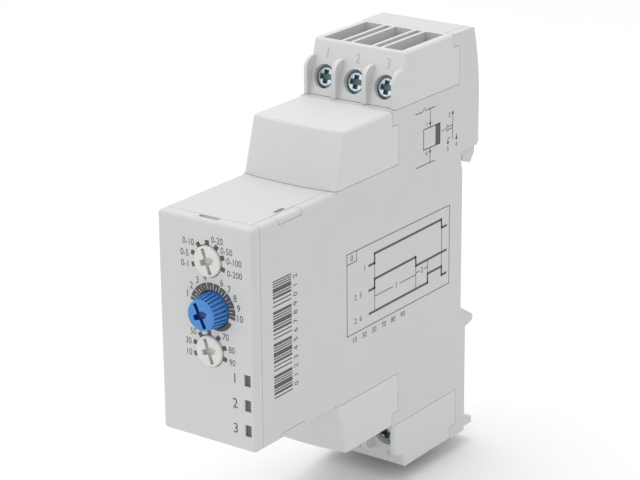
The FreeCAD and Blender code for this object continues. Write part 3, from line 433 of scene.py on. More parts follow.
@dataclass(frozen=True, kw_only=True)
class KnobPlastic(MouldedPlastic):
    """Smooth knob plastic with painted shade in the sunk cross and in the flutes.

    The places are the inputs of the shared knob group by name.
    """

    recess: Colour
    groove: Colour
    places: dict[str, float]
    roughness: float = 0.32
    mottle_depth: float = 0.03
    mottle_size: float = 400.0
    grain_size: float = 7000.0
    grain_depth: float = 0.000003
    grain_strength: float = 0.4
    specular: float = 0.5

    def tone(self, bench: MaterialBench, colour: NodeSocket) -> NodeSocket:
        """The plastic's colour, with painted shade in the flutes and then in the cross."""
        masks = bench.group("knob", **self.places)
        return bench.blend(masks["Mask"], bench.blend(masks["Flute Shade"], colour, self.groove), self.recess)


@dataclass(frozen=True)
class Patterned:
    """A surface whose colour, gloss and relief follow one pattern."""

    name: str
    colour: Colour
    second: Colour
    smooth: float
    rough: float
    relief: float
    strength: float

    def pattern(self, bench: MaterialBench) -> Sockets:
        """The mask that blends the two colours, and the height of the relief."""
        raise NotImplementedError

    def make(self) -> Material:
        """Builds the material."""
        bench = MaterialBench(self.name)
        mask, height = self.pattern(bench)
        return bench.dress(
            Base_Color=bench.blend(mask, self.colour, self.second),
            Roughness=bench.vary(mask, self.smooth, self.rough),
            Normal=bench.bump(height, self.relief, self.strength),
        )


@dataclass(frozen=True)
class PrintedInk(Patterned):
    """Pad-printed ink, a little uneven in density."""

    smooth: float = 0.45
    rough: float = 0.6
    relief: float = 0.000002
    strength: float = 0.3

    def pattern(self, bench: MaterialBench) -> Sockets:
        """The ink's density over a fine grain."""
        grain = bench.group("grain", Mottle_Size=2600.0, Grain_Size=9000.0)
        return grain["Mottle"], grain["Height"]


@dataclass(frozen=True)
class BoardLaminate(Patterned):
    """Circuit board laminate: solder mask over a glass weave."""

    smooth: float = 0.3
    rough: float = 0.42
    relief: float = 0.00001
    strength: float = 0.4
    threads: float = 420.0

    def pattern(self, bench: MaterialBench) -> Sockets:
        """The weave of the glass cloth, from its warp and its weft."""
        place, threads = bench.place, self.threads
        warp, weft = (
            bench.add("TexWave", bands_direction=way, in_Vector=place, in_Scale=threads, in_Distortion=0.4)
            for way in ("Y", "Z")
        )
        cloth = bench.maths("MULTIPLY", warp.outputs["Fac"], weft.outputs["Fac"])
        return cloth, cloth


@dataclass(frozen=True)
class SinteredBlock(Patterned):
    """Dull sintered or potted block with coarse specks."""

    smooth: float = 0.75
    rough: float = 0.9
    relief: float = 0.00002
    strength: float = 0.5

    def pattern(self, bench: MaterialBench) -> Sockets:
        """The specks of the pressed powder."""
        specks = bench.add("TexVoronoi", in_Vector=bench.place, in_Scale=1800.0).outputs["Distance"]
        return specks, specks


@dataclass(frozen=True)
class PlatedMetal:
    """Plated or drawn metal with fine lines."""

    name: str
    colour: Colour
    shadow: Colour
    smooth: float = 0.24
    rough: float = 0.42

    def tone(self, bench: MaterialBench, colour: NodeSocket, rough: NodeSocket) -> Sockets:
        """The colour and roughness that the surface shows, which are the metal's own all over."""
        return colour, rough

    def make(self) -> Material:
        """Builds the material."""
        bench = MaterialBench(self.name)
        lines = bench.group("lines")
        tint = bench.blend(lines["Cloud"], self.shadow, self.colour)
        tint, rough = self.tone(bench, tint, bench.vary(lines["Lines"], self.smooth, self.rough))
        relief = bench.bump(lines["Lines"], 0.000004, 0.4)
        return bench.dress(Base_Color=tint, Roughness=rough, Normal=relief, Metallic=1.0)


@dataclass(frozen=True, kw_only=True)
class ScrewZinc(PlatedMetal):
    """Blue zinc plate on the clamp screws, dull inside the sunk cross and darkened there with painted
    shade.

    The places are the inputs of the shared screw group by name.
    """

    recess: Colour
    places: dict[str, float]
    smooth: float = 0.22
    rough: float = 0.4
    dulling: float = 0.25

    def tone(self, bench: MaterialBench, colour: NodeSocket, rough: NodeSocket) -> Sockets:
        """The zinc's colour and roughness, with painted shade and more roughness in the cross."""
        mask = bench.group("screw", **self.places)["Mask"]
        dulled = bench.maths("ADD", rough, bench.maths("MULTIPLY", mask, self.dulling))
        return bench.blend(mask, colour, self.recess), dulled


@dataclass(frozen=True)
class SmokedWindow:
    """Smoked light window: dark and polished, a little paler where light gathers."""

    name: str
    colour: Colour
    glow: Colour

    def make(self) -> Material:
        """Builds the material."""
        bench = MaterialBench(self.name)
        cloud = bench.add("TexNoise", in_Vector=bench.place, in_Scale=700.0, in_Detail=2.0).outputs[0]
        return bench.dress(
            Base_Color=bench.blend(cloud, self.colour, self.glow),
            Roughness=bench.vary(cloud, 0.18, 0.3),
            Coat_Weight=0.5,
        )


CASE_GREY: Colour = (0.600, 0.600, 0.602)
PANEL_GREY: Colour = (0.600, 0.600, 0.600)
STEP_GREY: Colour = (0.640, 0.640, 0.634)
TERMINAL_GREY: Colour = (0.640, 0.638, 0.636)
KNOB_BLUE: Colour = (0.055, 0.235, 0.60)
# Painted shade for the time knob's sunk cross, then for its flutes.
KNOB_RECESS_SHADE: Colour = (0.012, 0.055, 0.26)
KNOB_FLUTE_SHADE: Colour = (0.036, 0.165, 0.48)
SELECTOR_WHITE: Colour = (0.68, 0.675, 0.65)
# Painted shade for the selectors' sunk crosses.
SELECTOR_SHADE: Colour = (0.62, 0.61, 0.575)
SCREW_BLUE: Colour = (0.56, 0.67, 0.71)
SCREW_SHADOW: Colour = (0.34, 0.42, 0.46)
# Painted shade for the screws' sunk crosses.
SCREW_RECESS_SHADE: Colour = (0.15, 0.20, 0.22)

FINISHES = {
    "case_plastic": MouldedPlastic("case_polyamide", CASE_GREY),
    "panel_plastic": MouldedPlastic("panel_polycarbonate", PANEL_GREY, roughness=0.5),
    "step_plastic": MouldedPlastic("step_polyamide", STEP_GREY),
    "terminal_plastic": MouldedPlastic("terminal_polyamide", TERMINAL_GREY, roughness=0.6),
    "window_plastic": SmokedWindow("smoked_window", (0.055, 0.052, 0.030), (0.11, 0.105, 0.07)),
    "zinc_steel": PlatedMetal("blue_zinc", (0.66, 0.71, 0.78), (0.50, 0.54, 0.60)),
    "tinned_brass": PlatedMetal("tin_plate", (0.78, 0.74, 0.62), (0.62, 0.57, 0.44)),
    "black_plastic": MouldedPlastic("black_polyester", (0.035, 0.035, 0.038), roughness=0.5),
    "relay_plastic": MouldedPlastic("relay_housing", (0.03, 0.085, 0.22), roughness=0.35),
    "board_laminate": BoardLaminate("board_mask", (0.018, 0.12, 0.045), (0.035, 0.17, 0.07)),
    "can_aluminium": PlatedMetal("drawn_can", (0.75, 0.76, 0.78), (0.62, 0.63, 0.66)),
    "film_plastic": MouldedPlastic("film_capacitor_box", (0.55, 0.30, 0.04), roughness=0.35),
    "ferrite": SinteredBlock("sintered_core", (0.035, 0.035, 0.037), (0.075, 0.075, 0.078)),
    "spring_steel": PlatedMetal("drawn_wire", (0.62, 0.63, 0.66), (0.45, 0.46, 0.49)),
}

INK = PrintedInk("print_ink", (0.060, 0.056, 0.050), (0.10, 0.095, 0.088))
# The raised numbers are the terminal plastic made darker: painted shade standing in for the shade in the
# real, engraved numbers.
RAISED_SHADED = MouldedPlastic("raised_number", shade_of(TERMINAL_GREY, 0.80), roughness=0.6)


# ---- flat prints ----

CAP_HEIGHT = 0.69
RING_STEPS = 360


class Side(Enum):
    """The face that a print lies on, as the directions of its right and its up."""

    FRONT = ((1.0, 0.0, 0.0), (0.0, 0.0, 1.0))
    RIGHT = ((0.0, 1.0, 0.0), (0.0, 0.0, 1.0))


@dataclass
class FlatPrint:
    """Thin marks on a flat face, drawn in millimetres to the right and up from its origin."""

    name: str
    origin: Triple
    right: Triple
    up: Triple
    proud: float = 0.02
    sunk: float = 0.01
    marks: list[Object] = field(default_factory=list)

    def bar(self, x: float, z: float, width: float, height: float, turn: float = 0.0) -> None:
        """Draws a filled rectangle about its centre.

        Args:
            x: The centre's place to the right.
            z: The centre's place up.
            width: Its size along its own right.
            height: Its size along its own up.
            turn: Its turn in degrees, against the clock.
        """
        clear_selection()
        tilt = (0.0, 0.0, math.radians(turn))
        bpy.ops.mesh.primitive_plane_add(size=1.0, location=(x, z, 0.0), rotation=tilt)
        mark = bpy.context.active_object
        mark.scale = (width, height, 1.0)
        freeze(mark)
        self.marks.append(mark)

    def path(self, points: Path, width: float) -> None:
        """Draws a run of straight lines.

        Args:
            points: The corners in order.
            width: The lines' width.
        """
        corners = [Vector(point) for point in points]
        for start, end in zip(corners, corners[1:]):
            way, middle = end - start, (end + start) / 2
            turn = math.degrees(math.atan2(way.y, way.x))
            self.bar(middle.x, middle.y, way.length + width, width, turn)

    def frame(self, low: Point, high: Point, width: float) -> None:
        """Draws a rectangle's outline from its lower left corner to its upper right one."""
        self.path((low, (high[0], low[1]), high, (low[0], high[1]), low), width)

    def number(
        self, text: str, x: float, z: float, height: float, squeeze: float = 1.0, turn: float = 0.0
    ) -> None:
        """Sets plain figures about a centre.

        Args:
            text: The figures.
            x: The centre's place to the right.
            z: The centre's place up.
            height: The height of a figure.
            squeeze: The width of the figures against their usual width.
            turn: Their turn in degrees, against the clock.
        """
        clear_selection()
        bpy.ops.object.text_add(location=(0.0, 0.0, 0.0))
        words = bpy.context.active_object
        words.data.body = text
        words.data.size = height / CAP_HEIGHT
        words.data.align_x = "CENTER"
        words.data.resolution_u = 3
        bpy.ops.object.convert(target="MESH")
        words = bpy.context.active_object
        lean = math.radians(turn)
        words.scale = (squeeze, 1.0, 1.0)
        words.rotation_euler = (0.0, 0.0, lean)
        words.location = (x + math.sin(lean) * height / 2, z - math.cos(lean) * height / 2, 0.0)
        freeze(words)
        self.marks.append(words)

    def write(self, labels: tuple[Label, ...]) -> None:
        """Sets plain numbers, each from its figures, its place to the right and up, and its height."""
        for label in labels:
            self.number(*label)

    def ring(
        self, centre: Point, inner: float, outer: float, keep: list[Point], shift: Point = (0.0, 0.0)
    ) -> None:
        """Draws stretches of a flat ring.

        Args:
            centre: The ring's centre.
            inner: Its inner radius.
            outer: Its outer radius.
            keep: The stretches to keep, as start and end angles in degrees against the clock.
            shift: How far the outer edge is moved off the centre, which makes a crescent.
        """
        clear_selection()
        bpy.ops.mesh.primitive_circle_add(vertices=RING_STEPS, radius=inner, location=(*centre, 0.0))
        band = bpy.context.active_object
        bpy.ops.object.mode_set(mode="EDIT")
        bpy.ops.mesh.select_all(action="SELECT")
        bpy.ops.mesh.extrude_edges_move()
        growth = outer / inner
        bpy.ops.transform.resize(value=(growth, growth, 1.0), center_override=(*centre, 0.0))
        bpy.ops.transform.translate(value=(*shift, 0.0))
        bpy.ops.mesh.select_all(action="DESELECT")
        bpy.ops.object.mode_set(mode="OBJECT")
        freeze(band)
        for face in band.data.polygons:
            angle = math.degrees(math.atan2(face.center.y - centre[1], face.center.x - centre[0]))
            turns = (angle, angle + 360, angle - 360)
            face.select = not any(low <= turn <= high for low, high in keep for turn in turns)
        bpy.ops.object.mode_set(mode="EDIT")
        bpy.ops.mesh.delete(type="FACE")
        bpy.ops.mesh.select_all(action="SELECT")
        bpy.ops.mesh.normals_make_consistent(inside=False)
        bpy.ops.object.mode_set(mode="OBJECT")
        if band.data.polygons[0].normal.z < 0:
            bpy.ops.object.mode_set(mode="EDIT")
            bpy.ops.mesh.flip_normals()
            bpy.ops.object.mode_set(mode="OBJECT")
        self.marks.append(band)

    def finish(self, body: str, slot: str, material: Material) -> None:
        """Joins the marks, thickens them and lays them on their face.

        Args:
            body: The CAD body that the print rides on.
            slot: The record's material slot; not used.
            material: The ink.
        """
        piece = join(self.marks, self.name)
        thick = piece.modifiers.new("thickness", "SOLIDIFY")
        thick.thickness = self.proud + self.sunk
        thick.offset = 1.0
        apply_modifiers(piece)
        right, up = Vector(self.right), Vector(self.up)
        normal = right.cross(up)
        base = Vector(self.origin) - normal * self.sunk
        turned = Matrix((right, up, normal)).transposed().to_4x4()
        piece.matrix_world = Matrix.Scale(MM, 4) @ Matrix.Translation(base) @ turned
        freeze(piece)
        hand_over(piece, body, material)


@dataclass
class FrontPrint:
    """The scales on the front panel: the time ring with its numbers, and the selectors' marks."""

    dial: Point
    range_selector: Point
    mode_selector: Point
    face: float
    first_angle: float = 160.0
    step_angle: float = 18.2
    end_angles: Point = (9.0, 9.5)
    ring_inner: float = 3.9
    ring_outer: float = 5.4
    ring_middle: float = 4.8
    gap_angle: float = 1.8
    tail_inner: float = 3.85
    tail_outer: float = 3.65
    tail_shift: Point = (1.13, -0.41)
    tail_angles: Point = (-86.0, -24.0)
    number_radius: float = 6.38
    number_height: float = 1.38
    number_squeeze: float = 0.85
    skipped_number: int = 5
    mark_angles: tuple[float, ...] = (200.0, 164.0, 128.0, 92.0, 56.0, 20.0, -16.0)
    mark_radius: float = 3.66
    mark_size: float = 0.95
    label_height: float = 1.3
    label_squeeze: float = 0.82
    label_gap: float = 1.064
    figure_width: float = 0.62
    left_limit: float = -0.1
    range_labels: tuple[str, ...] = ("0-1", "0-5", "0-10", "0-20", "0-50", "0-100", "0-200")
    range_lifts: tuple[float, ...] = (-0.2, -0.3, 0.2, 0.8, -0.3, -0.35, -0.5)
    mode_labels: tuple[str, ...] = ("10", "30", "50", "", "70", "80", "90")
    mode_lifts: tuple[float, ...] = (0.0, 0.0, 0.25, 0.0, 0.6, 0.0, -0.25)
    window_label_x: float = 6.6
    window_label_height: float = 2.0
    window_label_squeeze: float = 0.9

    def time_ring(self, sheet: FlatPrint) -> None:
        """Draws the dark ring, cut by thin light lines at the numbers and half-way between them, and a
        dark crescent at the knob's lower right.

        Args:
            sheet: The print to draw on.
        """
        gap = self.gap_angle / 2
        numbers = [self.first_angle - self.step_angle * place for place in range(10)]
        halves = [angle - self.step_angle / 2 for angle in numbers[:-1]]
        ends = [self.first_angle + self.end_angles[0], numbers[-1] - self.end_angles[1]]
        for inner, outer, angles in (
            (self.ring_middle, self.ring_outer, [*ends, *numbers]),
            (self.ring_inner, self.ring_middle, [*ends, *numbers, *halves]),
        ):
            angles.sort()
            keep = [(low + gap, high - gap) for low, high in zip(angles, angles[1:])]
            sheet.ring(self.dial, inner, outer, keep)
        sheet.ring(self.dial, self.tail_inner, self.tail_outer, [self.tail_angles], self.tail_shift)

    def time_numbers(self, sheet: FlatPrint) -> None:
        """Sets the numbers round the time ring.

        Args:
            sheet: The print to draw on.
        """
        for number in range(1, 11):
            if number == self.skipped_number:
                continue
            angle = math.radians(self.first_angle - self.step_angle * (number - 1))
            x = self.dial[0] + self.number_radius * math.cos(angle)
            z = self.dial[1] + self.number_radius * math.sin(angle)
            sheet.number(str(number), x, z, self.number_height, self.number_squeeze)

    def selector_marks(
        self, sheet: FlatPrint, centre: Point, labels: tuple[str, ...], lifts: tuple[float, ...]
    ) -> None:
        """Draws the square marks and plain numbers round a selector.

        Args:
            sheet: The print to draw on.
            centre: The selector's centre.
            labels: One label for each mark; an empty one is left out.
            lifts: How far each label sits above its mark.
        """
        for angle, label, lift in zip(self.mark_angles, labels, lifts):
            turn = math.radians(angle)
            x = centre[0] + self.mark_radius * math.cos(turn)
            z = centre[1] + self.mark_radius * math.sin(turn)
            sheet.bar(x, z, self.mark_size, self.mark_size, angle)
            if not label:
                continue
            side = 1.0 if math.cos(turn) > self.left_limit else -1.0
            width = self.figure_width * len(label) * self.label_height * self.label_squeeze
            reach = self.label_gap + width / 2
            sheet.number(label, x + side * reach, z + lift, self.label_height, self.label_squeeze)

    def window_labels(self, sheet: FlatPrint, heights: list[float]) -> None:
        """Sets a plain number beside each status window, from the top one down."""
        height, squeeze = self.window_label_height, self.window_label_squeeze
        for number, z in enumerate(heights, start=1):
            sheet.number(str(number), self.window_label_x, z, height, squeeze)

    def build(self, windows: list[float], ink: Material) -> None:
        """Makes the front prints.

        Args:
            windows: The heights of the status windows.
            ink: The ink's material.
        """
        names = ("time_scale_print", "selector_scale_print", "window_number_print")
        sheets = [FlatPrint(name, (0, self.face, 0), *Side.FRONT.value) for name in names]
        times, marks, numbers = sheets
        self.time_ring(times)
        self.time_numbers(times)
        self.selector_marks(marks, self.range_selector, self.range_labels, self.range_lifts)
        self.selector_marks(marks, self.mode_selector, self.mode_labels, self.mode_lifts)
        self.window_labels(numbers, windows)
        for sheet in sheets:
            sheet.finish("case", "panel_plastic", ink)


@dataclass
class SidePrint:
    """The plain diagrams, numbers and stripes on the right-hand cover."""

    face: float
    thin: float = 0.17
    thick: float = 0.52
    lead: float = 0.18
    coil_edge: float = 0.216
    chart_low: Point = (-42.1, -8.6)
    chart_high: Point = (-4.85, 8.7)
    box_low: Point = (-42.1, 6.5)
    box_high: Point = (-38.75, 8.7)
    traces: tuple[Path, ...] = (
        ((-34.4, 4.2), (-32.5, 4.2), (-32.5, 6.2), (-8.0, 6.4), (-7.8, 4.6), (-6.1, 4.6)),
        ((-34.4, -1.1), (-32.5, -1.1), (-32.5, 0.8), (-17.6, 1.0), (-17.5, -0.95), (-6.1, -0.8)),
        ((-34.3, -6.1), (-13.1, -6.0), (-13.1, -4.0), (-7.8, -4.0), (-7.8, -5.9), (-6.1, -5.9)),
    )
    time_lines: tuple[Path, ...] = (
        ((-32.5, -6.0), (-32.5, 4.2)),
        ((-17.5, -6.0), (-17.5, -1.0)),
        ((-13.1, -4.0), (-13.1, -0.9)),
        ((-7.8, -4.0), (-7.8, 4.6)),
        ((-32.5, -2.9), (-26.0, -2.9)),
        ((-23.4, -2.9), (-17.5, -2.9)),
        ((-17.5, -2.5), (-16.0, -2.5)),
        ((-14.4, -2.5), (-13.1, -2.5)),
    )
    chart_numbers: tuple[Label, ...] = (
        ("0", -40.425, 7.6, 1.25),
        ("1", -24.7, -2.9, 1.3),
        ("2", -15.2, -2.5, 1.2),
        ("1", -36.0, 4.2, 1.15),
        ("2  5", -38.3, -1.1, 1.15),
        ("2  6", -38.3, -6.1, 1.15),
    )
    row_numbers: tuple[str, ...] = ("10", "30", "50", "70", "80", "90")
    row_number_height: float = 1.15
    row_start: float = -39.6
    row_pitch: float = 3.45
    row_height: float = -10.0
    coil_low: Point = (-14.9, 23.2)
    coil_high: Point = (-8.8, 27.5)
    coil_block: tuple[float, ...] = (-9.65, 25.35, 1.7, 4.3)
    coil_paths: tuple[Path, ...] = (
        ((-12.5, 27.5), (-12.5, 31.45)),
        ((-14.3, 31.45), (-10.7, 31.45)),
        ((-17.9, 31.4), (-15.5, 31.35), (-14.4, 32.05)),
        ((-12.5, 23.2), (-12.5, 20.0)),
        ((-17.6, 20.0), (-10.7, 20.0)),
        ((-4.0, 22.9), (-4.0, 28.4)),
        ((-5.85, 25.95), (-4.0, 25.95)),
        ((-5.85, 25.3), (-4.0, 25.3)),
        ((-6.0, 26.35), (-6.45, 25.65), (-6.0, 24.9)),
        ((-8.2, 25.6), (-7.8, 25.6)),
        ((-7.3, 25.6), (-6.9, 25.6)),
        ((-5.1, 23.5), (-5.75, 23.3), (-5.75, 22.5)),
        ((-2.5, 22.75), (-2.5, 23.65)),
    )
    diamond: float = 0.62
    diamonds: Path = ((-12.5, 28.3), (-12.5, 22.4), (-4.0, 28.5), (-5.75, 22.5), (-2.5, 22.75))
    coil_numbers: tuple[Label, ...] = (
        ("1", -13.7, 28.4, 0.95),
        ("4", -13.8, 22.2, 0.95),
        ("2", -5.3, 28.4, 0.95),
        ("5", -5.75, 21.2, 0.95),
        ("6", -2.5, 21.5, 0.95),
    )
    stripe_rhythm: tuple[float, ...] = (0.25, 0.5, 0.25, 0.9, 0.25, 0.25, 0.6, 0.25)
    stripe_left: float = -66.3
    stripe_width: float = 5.8
    stripe_low: float = -13.3
    stripe_high: float = 10.6
    stripe_numbers: int = 13
    stripe_number_height: float = 1.25

    def timing_chart(self, sheet: FlatPrint) -> None:
        """Draws the framed chart of the outputs against time, with its corner box and plain numbers.

        Args:
            sheet: The print to draw on.
        """
        sheet.frame(self.chart_low, self.chart_high, self.thin)
        sheet.frame(self.box_low, self.box_high, self.thin)
        for trace in self.traces:
            sheet.path(trace, self.thick)
        for line in self.time_lines:
            sheet.path(line, self.thin)
        sheet.write(self.chart_numbers)
        for place, text in enumerate(self.row_numbers):
            y = self.row_start + place * self.row_pitch
            sheet.number(text, y, self.row_height, self.row_number_height)

    def coil_diagram(self, sheet: FlatPrint) -> None:
        """Draws the coil with its supply leads, linked to a change-over contact.

        The plain numbers at the leads are those of the screw terminals.

        Args:
            sheet: The print to draw on.
        """
        sheet.frame(self.coil_low, self.coil_high, self.coil_edge)
        sheet.bar(*self.coil_block)
        for path in self.coil_paths:
            sheet.path(path, self.lead)
        for y, z in self.diamonds:
            sheet.bar(y, z, self.diamond, self.diamond, 45.0)
        sheet.write(self.coil_numbers)

    def stripes(self, sheet: FlatPrint) -> None:
        """Draws a block of plain stripes in a repeating rhythm of widths, with a column of numbers.

        Each gap takes its width from the same rhythm, read three places at a time.

        Args:
            sheet: The print to draw on.
        """
        rhythm = self.stripe_rhythm
        middle = self.stripe_left + self.stripe_width / 2
        z = self.stripe_low
        index = 0
        while z < self.stripe_high:
            top = min(z + rhythm[index % len(rhythm)], self.stripe_high)
            sheet.bar(middle, (z + top) / 2, self.stripe_width, top - z)
            z = top + rhythm[(index * 3 + 1) % len(rhythm)]
            index += 1
        column = self.stripe_left + self.stripe_width + self.stripe_number_height
        pitch = (self.stripe_high - self.stripe_low) / self.stripe_numbers
        for number in range(self.stripe_numbers):
            z = self.stripe_low + (number + 0.5) * pitch
            sheet.number(str(number % 10), column, z, self.stripe_number_height, turn=90.0)

    def build(self, ink: Material) -> None:
        """Makes the side prints.

        Args:
            ink: The ink's material.
        """
        for name, draw in (
            ("timing_chart_print", self.timing_chart),
            ("coil_diagram_print", self.coil_diagram),
            ("side_stripe_print", self.stripes),
        ):
            sheet = FlatPrint(name, (self.face, 0, 0), *Side.RIGHT.value)
            draw(sheet)
            sheet.finish("case", "case_plastic", ink)


@dataclass
class TerminalNumbers:
    """Low raised numbers above the clamp screws, on the sloped faces of the terminal caps."""

    pitch: float = 7.4
    tilt: float = 17.5
    foot_y: float = -24.5
    foot_z: float = 34.0
    centre_z: float = 42.35
    height: float = 2.0
    squeeze: float = 0.8
    proud: float = 0.08

    def build(self, material: Material) -> None:
        """Makes the six numbers, three to a cap.

        Args:
            material: The numbers' material.
        """
        lean = math.radians(self.tilt)
        y = self.foot_y + (self.centre_z - self.foot_z) * math.tan(lean)
        for upper in (True, False):
            sign = 1.0 if upper else -1.0
            up = (0.0, sign * math.sin(lean), math.cos(lean))
            name = f"terminal_numbers_{'upper' if upper else 'lower'}"
            sheet = FlatPrint(name, (0, y, sign * self.centre_z), (1, 0, 0), up, proud=self.proud)
            for place in (-1, 0, 1):
                number = 2 + place if upper else 5 - place
                sheet.number(str(number), place * self.pitch, 0.0, self.height, self.squeeze)
            sheet.finish("case", "terminal_plastic", material)


# ---- spring ----


@dataclass
class ClipSpring:
    """The compression spring in the rail clip's window, wound from round wire."""

    turns: int = 8
    wire_radius: float = 0.18
    coil_radius: float = 0.95
    steps: int = 32
    wire_sides: int = 12
    smooth_angle: float = 40.0
    closed_keep: float = 0.75

    def build(self, material: Material) -> None:
        """Winds the spring between the ends of the CAD spring.

        Args:
            material: The wire's material.
        """
        low, high = (Vector(corner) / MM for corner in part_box("clip_spring"))
        centre = (low + high) / 2
        rise = (high.z - low.z) - 2 * self.wire_radius
        clear_selection()
        bpy.ops.mesh.primitive_circle_add(
            vertices=self.wire_sides,
            radius=self.wire_radius,
            location=(self.coil_radius, 0.0, 0.0),
            rotation=(math.pi / 2, 0.0, 0.0),
        )
        spring = bpy.context.active_object
        spring.name = "wound_clip_spring"
        freeze(spring)
        winding = spring.modifiers.new("winding", "SCREW")
        winding.angle = 2 * math.pi
        winding.screw_offset = rise / self.turns
        winding.iterations = self.turns
        winding.steps = winding.render_steps = self.steps
        winding.use_merge_vertices = False
        apply_modifiers(spring)
        bpy.ops.object.mode_set(mode="EDIT")
        bpy.ops.mesh.select_all(action="DESELECT")
        bpy.ops.mesh.select_non_manifold()
        bpy.ops.mesh.edge_face_add()
        bpy.ops.mesh.select_all(action="SELECT")
        bpy.ops.mesh.normals_make_consistent(inside=False)
        bpy.ops.object.mode_set(mode="OBJECT")
        bpy.ops.object.shade_smooth_by_angle(angle=math.radians(self.smooth_angle))
        lift = low.z + self.wire_radius
        spring.matrix_world = Matrix.Scale(MM, 4) @ Matrix.Translation((centre.x, centre.y, lift))
        freeze(spring)
        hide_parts("clip_spring")
        hand_over(spring, "case", material)
        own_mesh(spring)


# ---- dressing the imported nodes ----


@dataclass
class NodeDresser:
    """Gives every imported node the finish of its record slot."""

    frame: dict
    cross_reach: float = 2.72
    cross_depth: float = 0.06
    flute_reach: float = 2.98
    flute_depth: float = 0.46
    flute_taper: float = 0.152
    screw_reach: float = 1.46
    screw_depth: float = 0.15
    materials: dict[str, Material] = field(default_factory=dict)

    def knob_finish(self, node: str, colour: Colour, recess: Colour, groove: Colour) -> KnobPlastic:
        """The finish of a knob, with its painted shade masks on its own axis.

        Args:
            node: The knob's node.
            colour: The plastic's colour.
            recess: The painted shade in the sunk cross.
            groove: The painted shade in the flutes, where the knob has them.

        Returns:
            The finish.
        """
        low, high = (Vector(corner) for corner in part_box(node))
        middle = (low + high) / 2
        places = {
            "Axis_X": middle.x,
            "Axis_Z": middle.z,
            "Reach": self.cross_reach * MM,
            "Face": low.y + self.cross_depth * MM,
        }
        if node == "time_knob":
            places["Flute_Reach"] = self.flute_reach * MM
            places["Flute_Face"] = low.y + self.flute_depth * MM
            places["Taper"] = self.flute_taper
        return KnobPlastic(node, colour, recess=recess, groove=groove, places=places)

    def screw_finish(self) -> ScrewZinc:
        """The finish of the six clamp screws, from the lean of the terminal faces.

        Returns:
            The finish, with its painted shade mask on the screws' axes.
        """
        numbers = TerminalNumbers()
        lean = math.radians(numbers.tilt)
        low, high = (Vector(corner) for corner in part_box("terminal_screw_2"))
        head = (high.x - low.x) / 2
        places = {
            "Pitch": numbers.pitch * MM,
            "Face_Y": low.y + head * math.sin(lean),
            "Face_Z": high.z - head * math.cos(lean),
            "Lean": lean,
            "Reach": self.screw_reach * MM,
            "Depth": self.screw_depth * MM,
        }
        return ScrewZinc("blue_zinc_screw", SCREW_BLUE, SCREW_SHADOW, recess=SCREW_RECESS_SHADE, places=places)

    def dress(self) -> None:
        """Assigns a material to every node's object."""
        for slot, finish in FINISHES.items():
            self.materials[slot] = finish.make()
        # The knobs and selectors get painted shade in their sunk crosses, and the time knob also gets it
        # in its flutes.
        special = {"time_knob": self.knob_finish("time_knob", KNOB_BLUE, KNOB_RECESS_SHADE, KNOB_FLUTE_SHADE).make()}
        for node in ("range_selector", "mode_selector"):
            special[node] = self.knob_finish(node, SELECTOR_WHITE, SELECTOR_SHADE, SELECTOR_SHADE).make()
        screw = self.screw_finish().make()
        special.update({f"terminal_screw_{number}": screw for number in range(1, 7)})
        for part in self.frame["record"]["subparts"]:
            node = part["node"]
            material = special.get(node) or self.materials[part["material_slot"]]
            piece = self.frame["nodes"][node]
            for place in piece.material_slots:
                place.material = material
            LOG.info("%s wears %s", node, material.name)


# ---- studio ----


